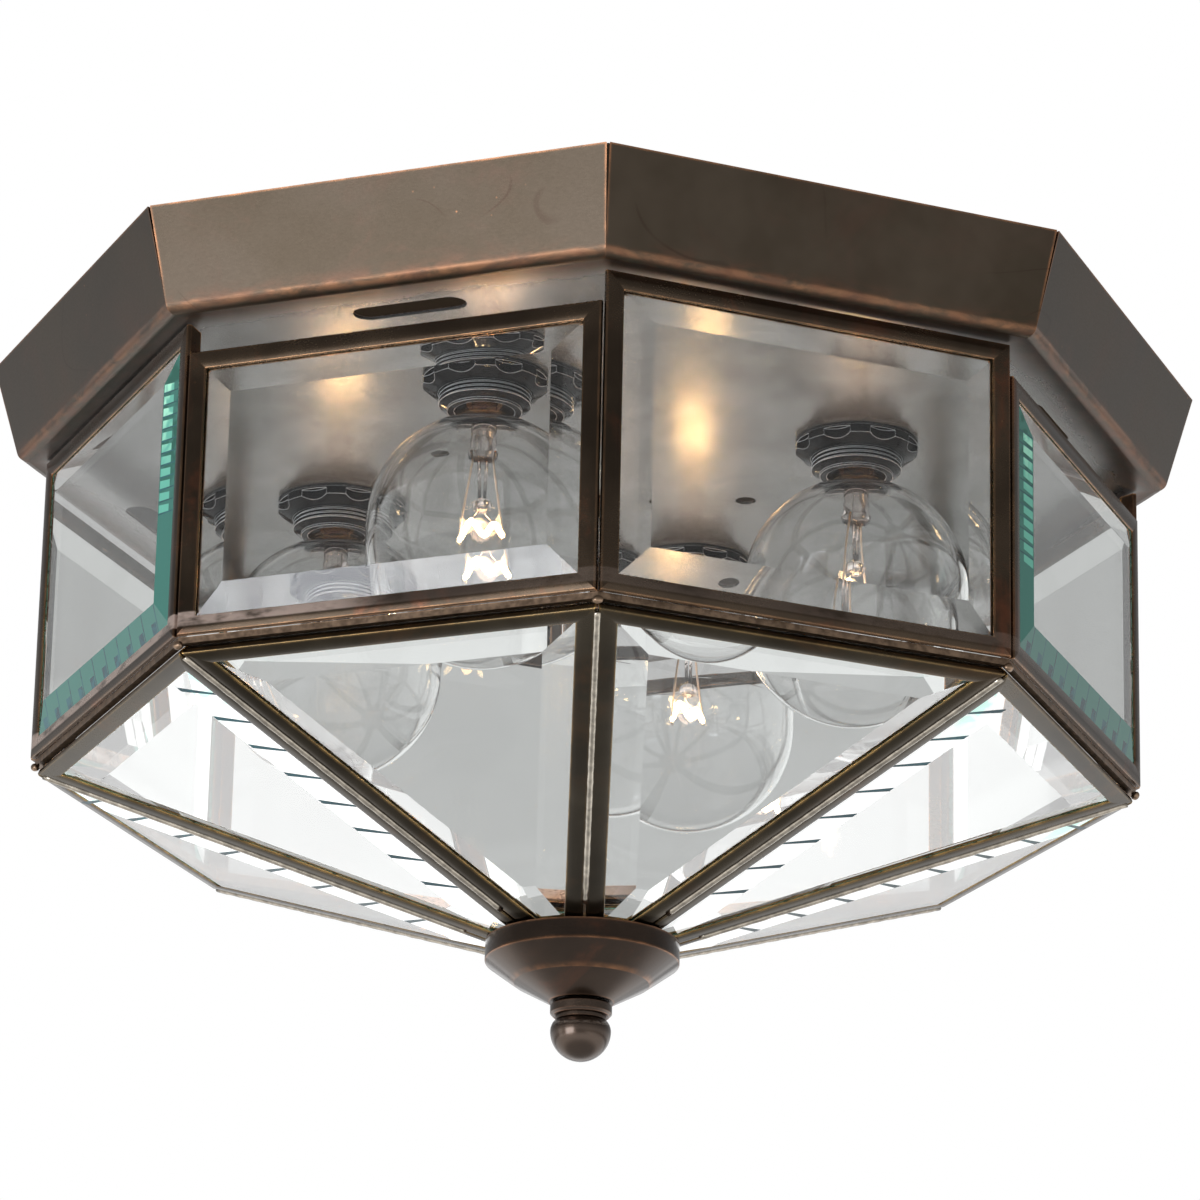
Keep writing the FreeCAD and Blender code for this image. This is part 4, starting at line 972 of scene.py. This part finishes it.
def make_ceiling_patch():
    """The ceiling over the pan: near black seen from below, through the air slots, as painted shade
    with a faint painted glow, and clear from above.
    """
    form = bmesh.new()
    inner, outer = (add_points(form, around((RIM_RADIUS - PATCH_INSET) * share, PATCH_RISE, PANELS,
                                            FIRST_PANEL + PANEL_TURN / 2)) for share in (0.5, 1.0))
    form.faces.new(inner)
    join_rings(form, [inner, outer])
    material, tree, shader = new_material("ceiling_shade")
    cloud = noise(tree, object_place(tree), 30.0)
    # Near black with a faint brown emission: painted shade, and a painted glow for light from the
    # slots.
    set_inputs(tree, shader, {
        "Base Color": mix_colours(tree, cloud, (0.012, 0.010, 0.009), (0.03, 0.026, 0.022)),
        "Emission Color": (0.030, 0.021, 0.014), "Emission Strength": 0.8, "Roughness": 0.9})
    above = add_node(tree, "NewGeometry").outputs["Backfacing"]
    clear_where(tree, math_node(tree, "MAXIMUM", above, lighting_rays(tree)), shader.outputs[0])
    stage_sheet("ceiling_patch", form, False, material)


def make_floor():
    """A pale floor under the light, clear when it is looked at from below. Metal and glass see
    a brighter ring of it round the light."""
    form = bmesh.new()
    centre = form.verts.new((0, 0, -FLOOR_DROP))
    rings = [add_points(form, around(FLOOR_REACH * (ring / FLOOR_RINGS) ** 2, -FLOOR_DROP,
                                     FLOOR_SPOKES)) for ring in range(1, FLOOR_RINGS + 1)]
    for spoke in range(FLOOR_SPOKES):
        form.faces.new([centre, rings[0][spoke], rings[0][(spoke + 1) % FLOOR_SPOKES]])
    join_rings(form, rings)
    material, tree, shader = new_material("floor_pale")
    place = object_place(tree)
    pale = mix_colours(tree, noise(tree, place, 3.0), (0.80, 0.80, 0.80), (0.84, 0.84, 0.84))
    set_inputs(tree, shader, {"Base Color": pale, "Roughness": 0.9})
    away = add_node(tree, "VectorMath", {0: place}, operation="LENGTH").outputs["Value"]
    aside = math_node(tree, "ABSOLUTE", dot_node(tree, place, WALL_ACROSS))
    near = math_node(tree, "MAXIMUM", step_node(tree, away, *NEAR_EDGE), product(
        tree, step_node(tree, aside, *SIDE_EDGE), step_node(tree, away, *SIDE_END)))
    below = step_node(tree, away, *CENTRE_EDGE)
    path = add_node(tree, "LightPath").outputs
    in_glass = product(tree, path["Is Singular Ray"], near, inverse(tree, below))
    shine = math_node(tree, "MULTIPLY_ADD", near, FLOOR_NEAR - FLOOR_FAR, FLOOR_FAR)
    shine = math_node(tree, "MULTIPLY_ADD", below, FLOOR_CENTRE - FLOOR_NEAR, shine)
    shine = math_node(tree, "MULTIPLY_ADD", in_glass, FLOOR_IN_GLASS - FLOOR_NEAR, shine)
    reflected = product(tree, path["Is Glossy Ray"], inverse(tree, path["Is Transmission Ray"]))
    glow = add_node(tree, "Emission", {"Strength": shine}).outputs[0]
    under = add_node(tree, "NewGeometry").outputs["Backfacing"]
    clear_where(tree, under, mix_shaders(tree, reflected, shader.outputs[0], glow))
    stage_sheet("floor", form, True, material)


def hide_lamp(lamp):
    """Keep a lamp out of the picture and out of what glass shows."""
    lamp.visible_camera = False
    lamp.visible_transmission = False
    bpy.context.scene.collection.objects.link(lamp)


def area_light(name, place, aim, size, power, colour=(1, 1, 1)):
    data = bpy.data.lights.new(name, "AREA")
    data.shape = "RECTANGLE"
    data.size, data.size_y = size
    data.energy = power
    data.color = colour
    lamp = bpy.data.objects.new(name, data)
    lamp.location = place
    lamp.rotation_euler = (Vector(aim) - Vector(place)).to_track_quat("-Z", "Y").to_euler()
    hide_lamp(lamp)


def light_room():
    """White for the camera; metal sees a darker upper room, glass sees darker walls, and what
    lights the object is plain and even."""
    world = bpy.data.worlds.new("studio")
    bpy.context.scene.world = world
    world.use_nodes = True
    tree = world.node_tree
    tree.nodes.clear()
    path = add_node(tree, "LightPath").outputs
    camera, through = path["Is Camera Ray"], path["Is Transmission Ray"]
    place = add_node(tree, "TexCoord").outputs["Generated"]
    high = step_node(tree, split(tree, place)[2], *UPPER_EDGE)
    loss = math_node(tree, "MULTIPLY_ADD", path["Is Singular Ray"], UPPER_ROOM - UPPER_IN_GLASS,
                     1.0 - UPPER_ROOM)
    reflected = inverse(tree, product(tree, high, loss))
    walls = 1.0
    for middle, wall_loss in ((WALL_MIDDLE, WALL_LOSS), (MIRRORED_WALLS[0], MIRRORED_LOSS),
                              (MIRRORED_WALLS[1], MIRRORED_LOSS)):
        wall = step_node(tree, dot_node(tree, place, middle), *WALL_EDGE)
        walls = math_node(tree, "SUBTRACT", walls, product(tree, wall, wall_loss))
    shown = math_node(tree, "MULTIPLY_ADD", reflected, inverse(tree, through),
                      product(tree, through, walls))
    white = add_node(tree, "Background", {"Color": (1, 1, 1), "Strength": math_node(
        tree, "MAXIMUM", shown, camera)})
    lit = add_node(tree, "Background", {"Color": (1, 1, 1), "Strength": ROOM_LIGHT})
    seen = math_node(tree, "MAXIMUM", math_node(tree, "MAXIMUM", camera, through),
                     path["Is Glossy Ray"])
    add_node(tree, "OutputWorld", {"Surface": mix_shaders(tree, seen, lit.outputs[0],
                                                          white.outputs[0])})
    area_light("left_softbox", (-0.42, -1.13, -0.29), (0, -0.1, -0.03), (0.70, 0.46), 6.8,
               (0.97, 1.0, 1.07))
    area_light("low_softbox", (-1.0, -0.55, -0.25), (0, 0, -0.1), (0.35, 0.5), 0.6)


def light_lamps():
    """A warm glow in each lamp, at its filament."""
    for index in range(LAMPS):
        data = bpy.data.lights.new("glow_%d" % (index + 1), "POINT")
        data.energy = GLOW_POWER
        data.color = GLOW_COLOUR
        data.shadow_soft_size = GLOW_RADIUS
        glow = bpy.data.objects.new("glow_%d" % (index + 1), data)
        glow.location = lamp_spot(index, GLOW_DEPTH)
        hide_lamp(glow)


place_camera()
make_effects()
finishes = make_materials()
dress_nodes(finishes)
edge_bands([finishes["edge"], finishes["edge_tick"]])
trapped_light("side_bevel_light", side_stand, lambda side: side_corners(side, VISIBLE_INSET),
              lambda side: side_corners(side, BEVEL_INSET), bevel_cells,
              [finishes["trapped_green"], finishes["dark_mark"], finishes["mint_cell"]])
trapped_light("lower_bevel_light", lower_stand, lambda side: lower_corners(side, VISIBLE_INSET),
              lower_bevel, hip_marks, [finishes["trapped_white"], finishes["dark_mark"]])
for lamp in range(LAMPS):
    lamp_mount(lamp, finishes)
solder_beads(finishes["bead"])
solder_knots(finishes["solder"])
make_ceiling_patch()
make_floor()
light_room()
light_lamps()

settings = bpy.context.scene.view_settings
settings.view_transform = "Standard"
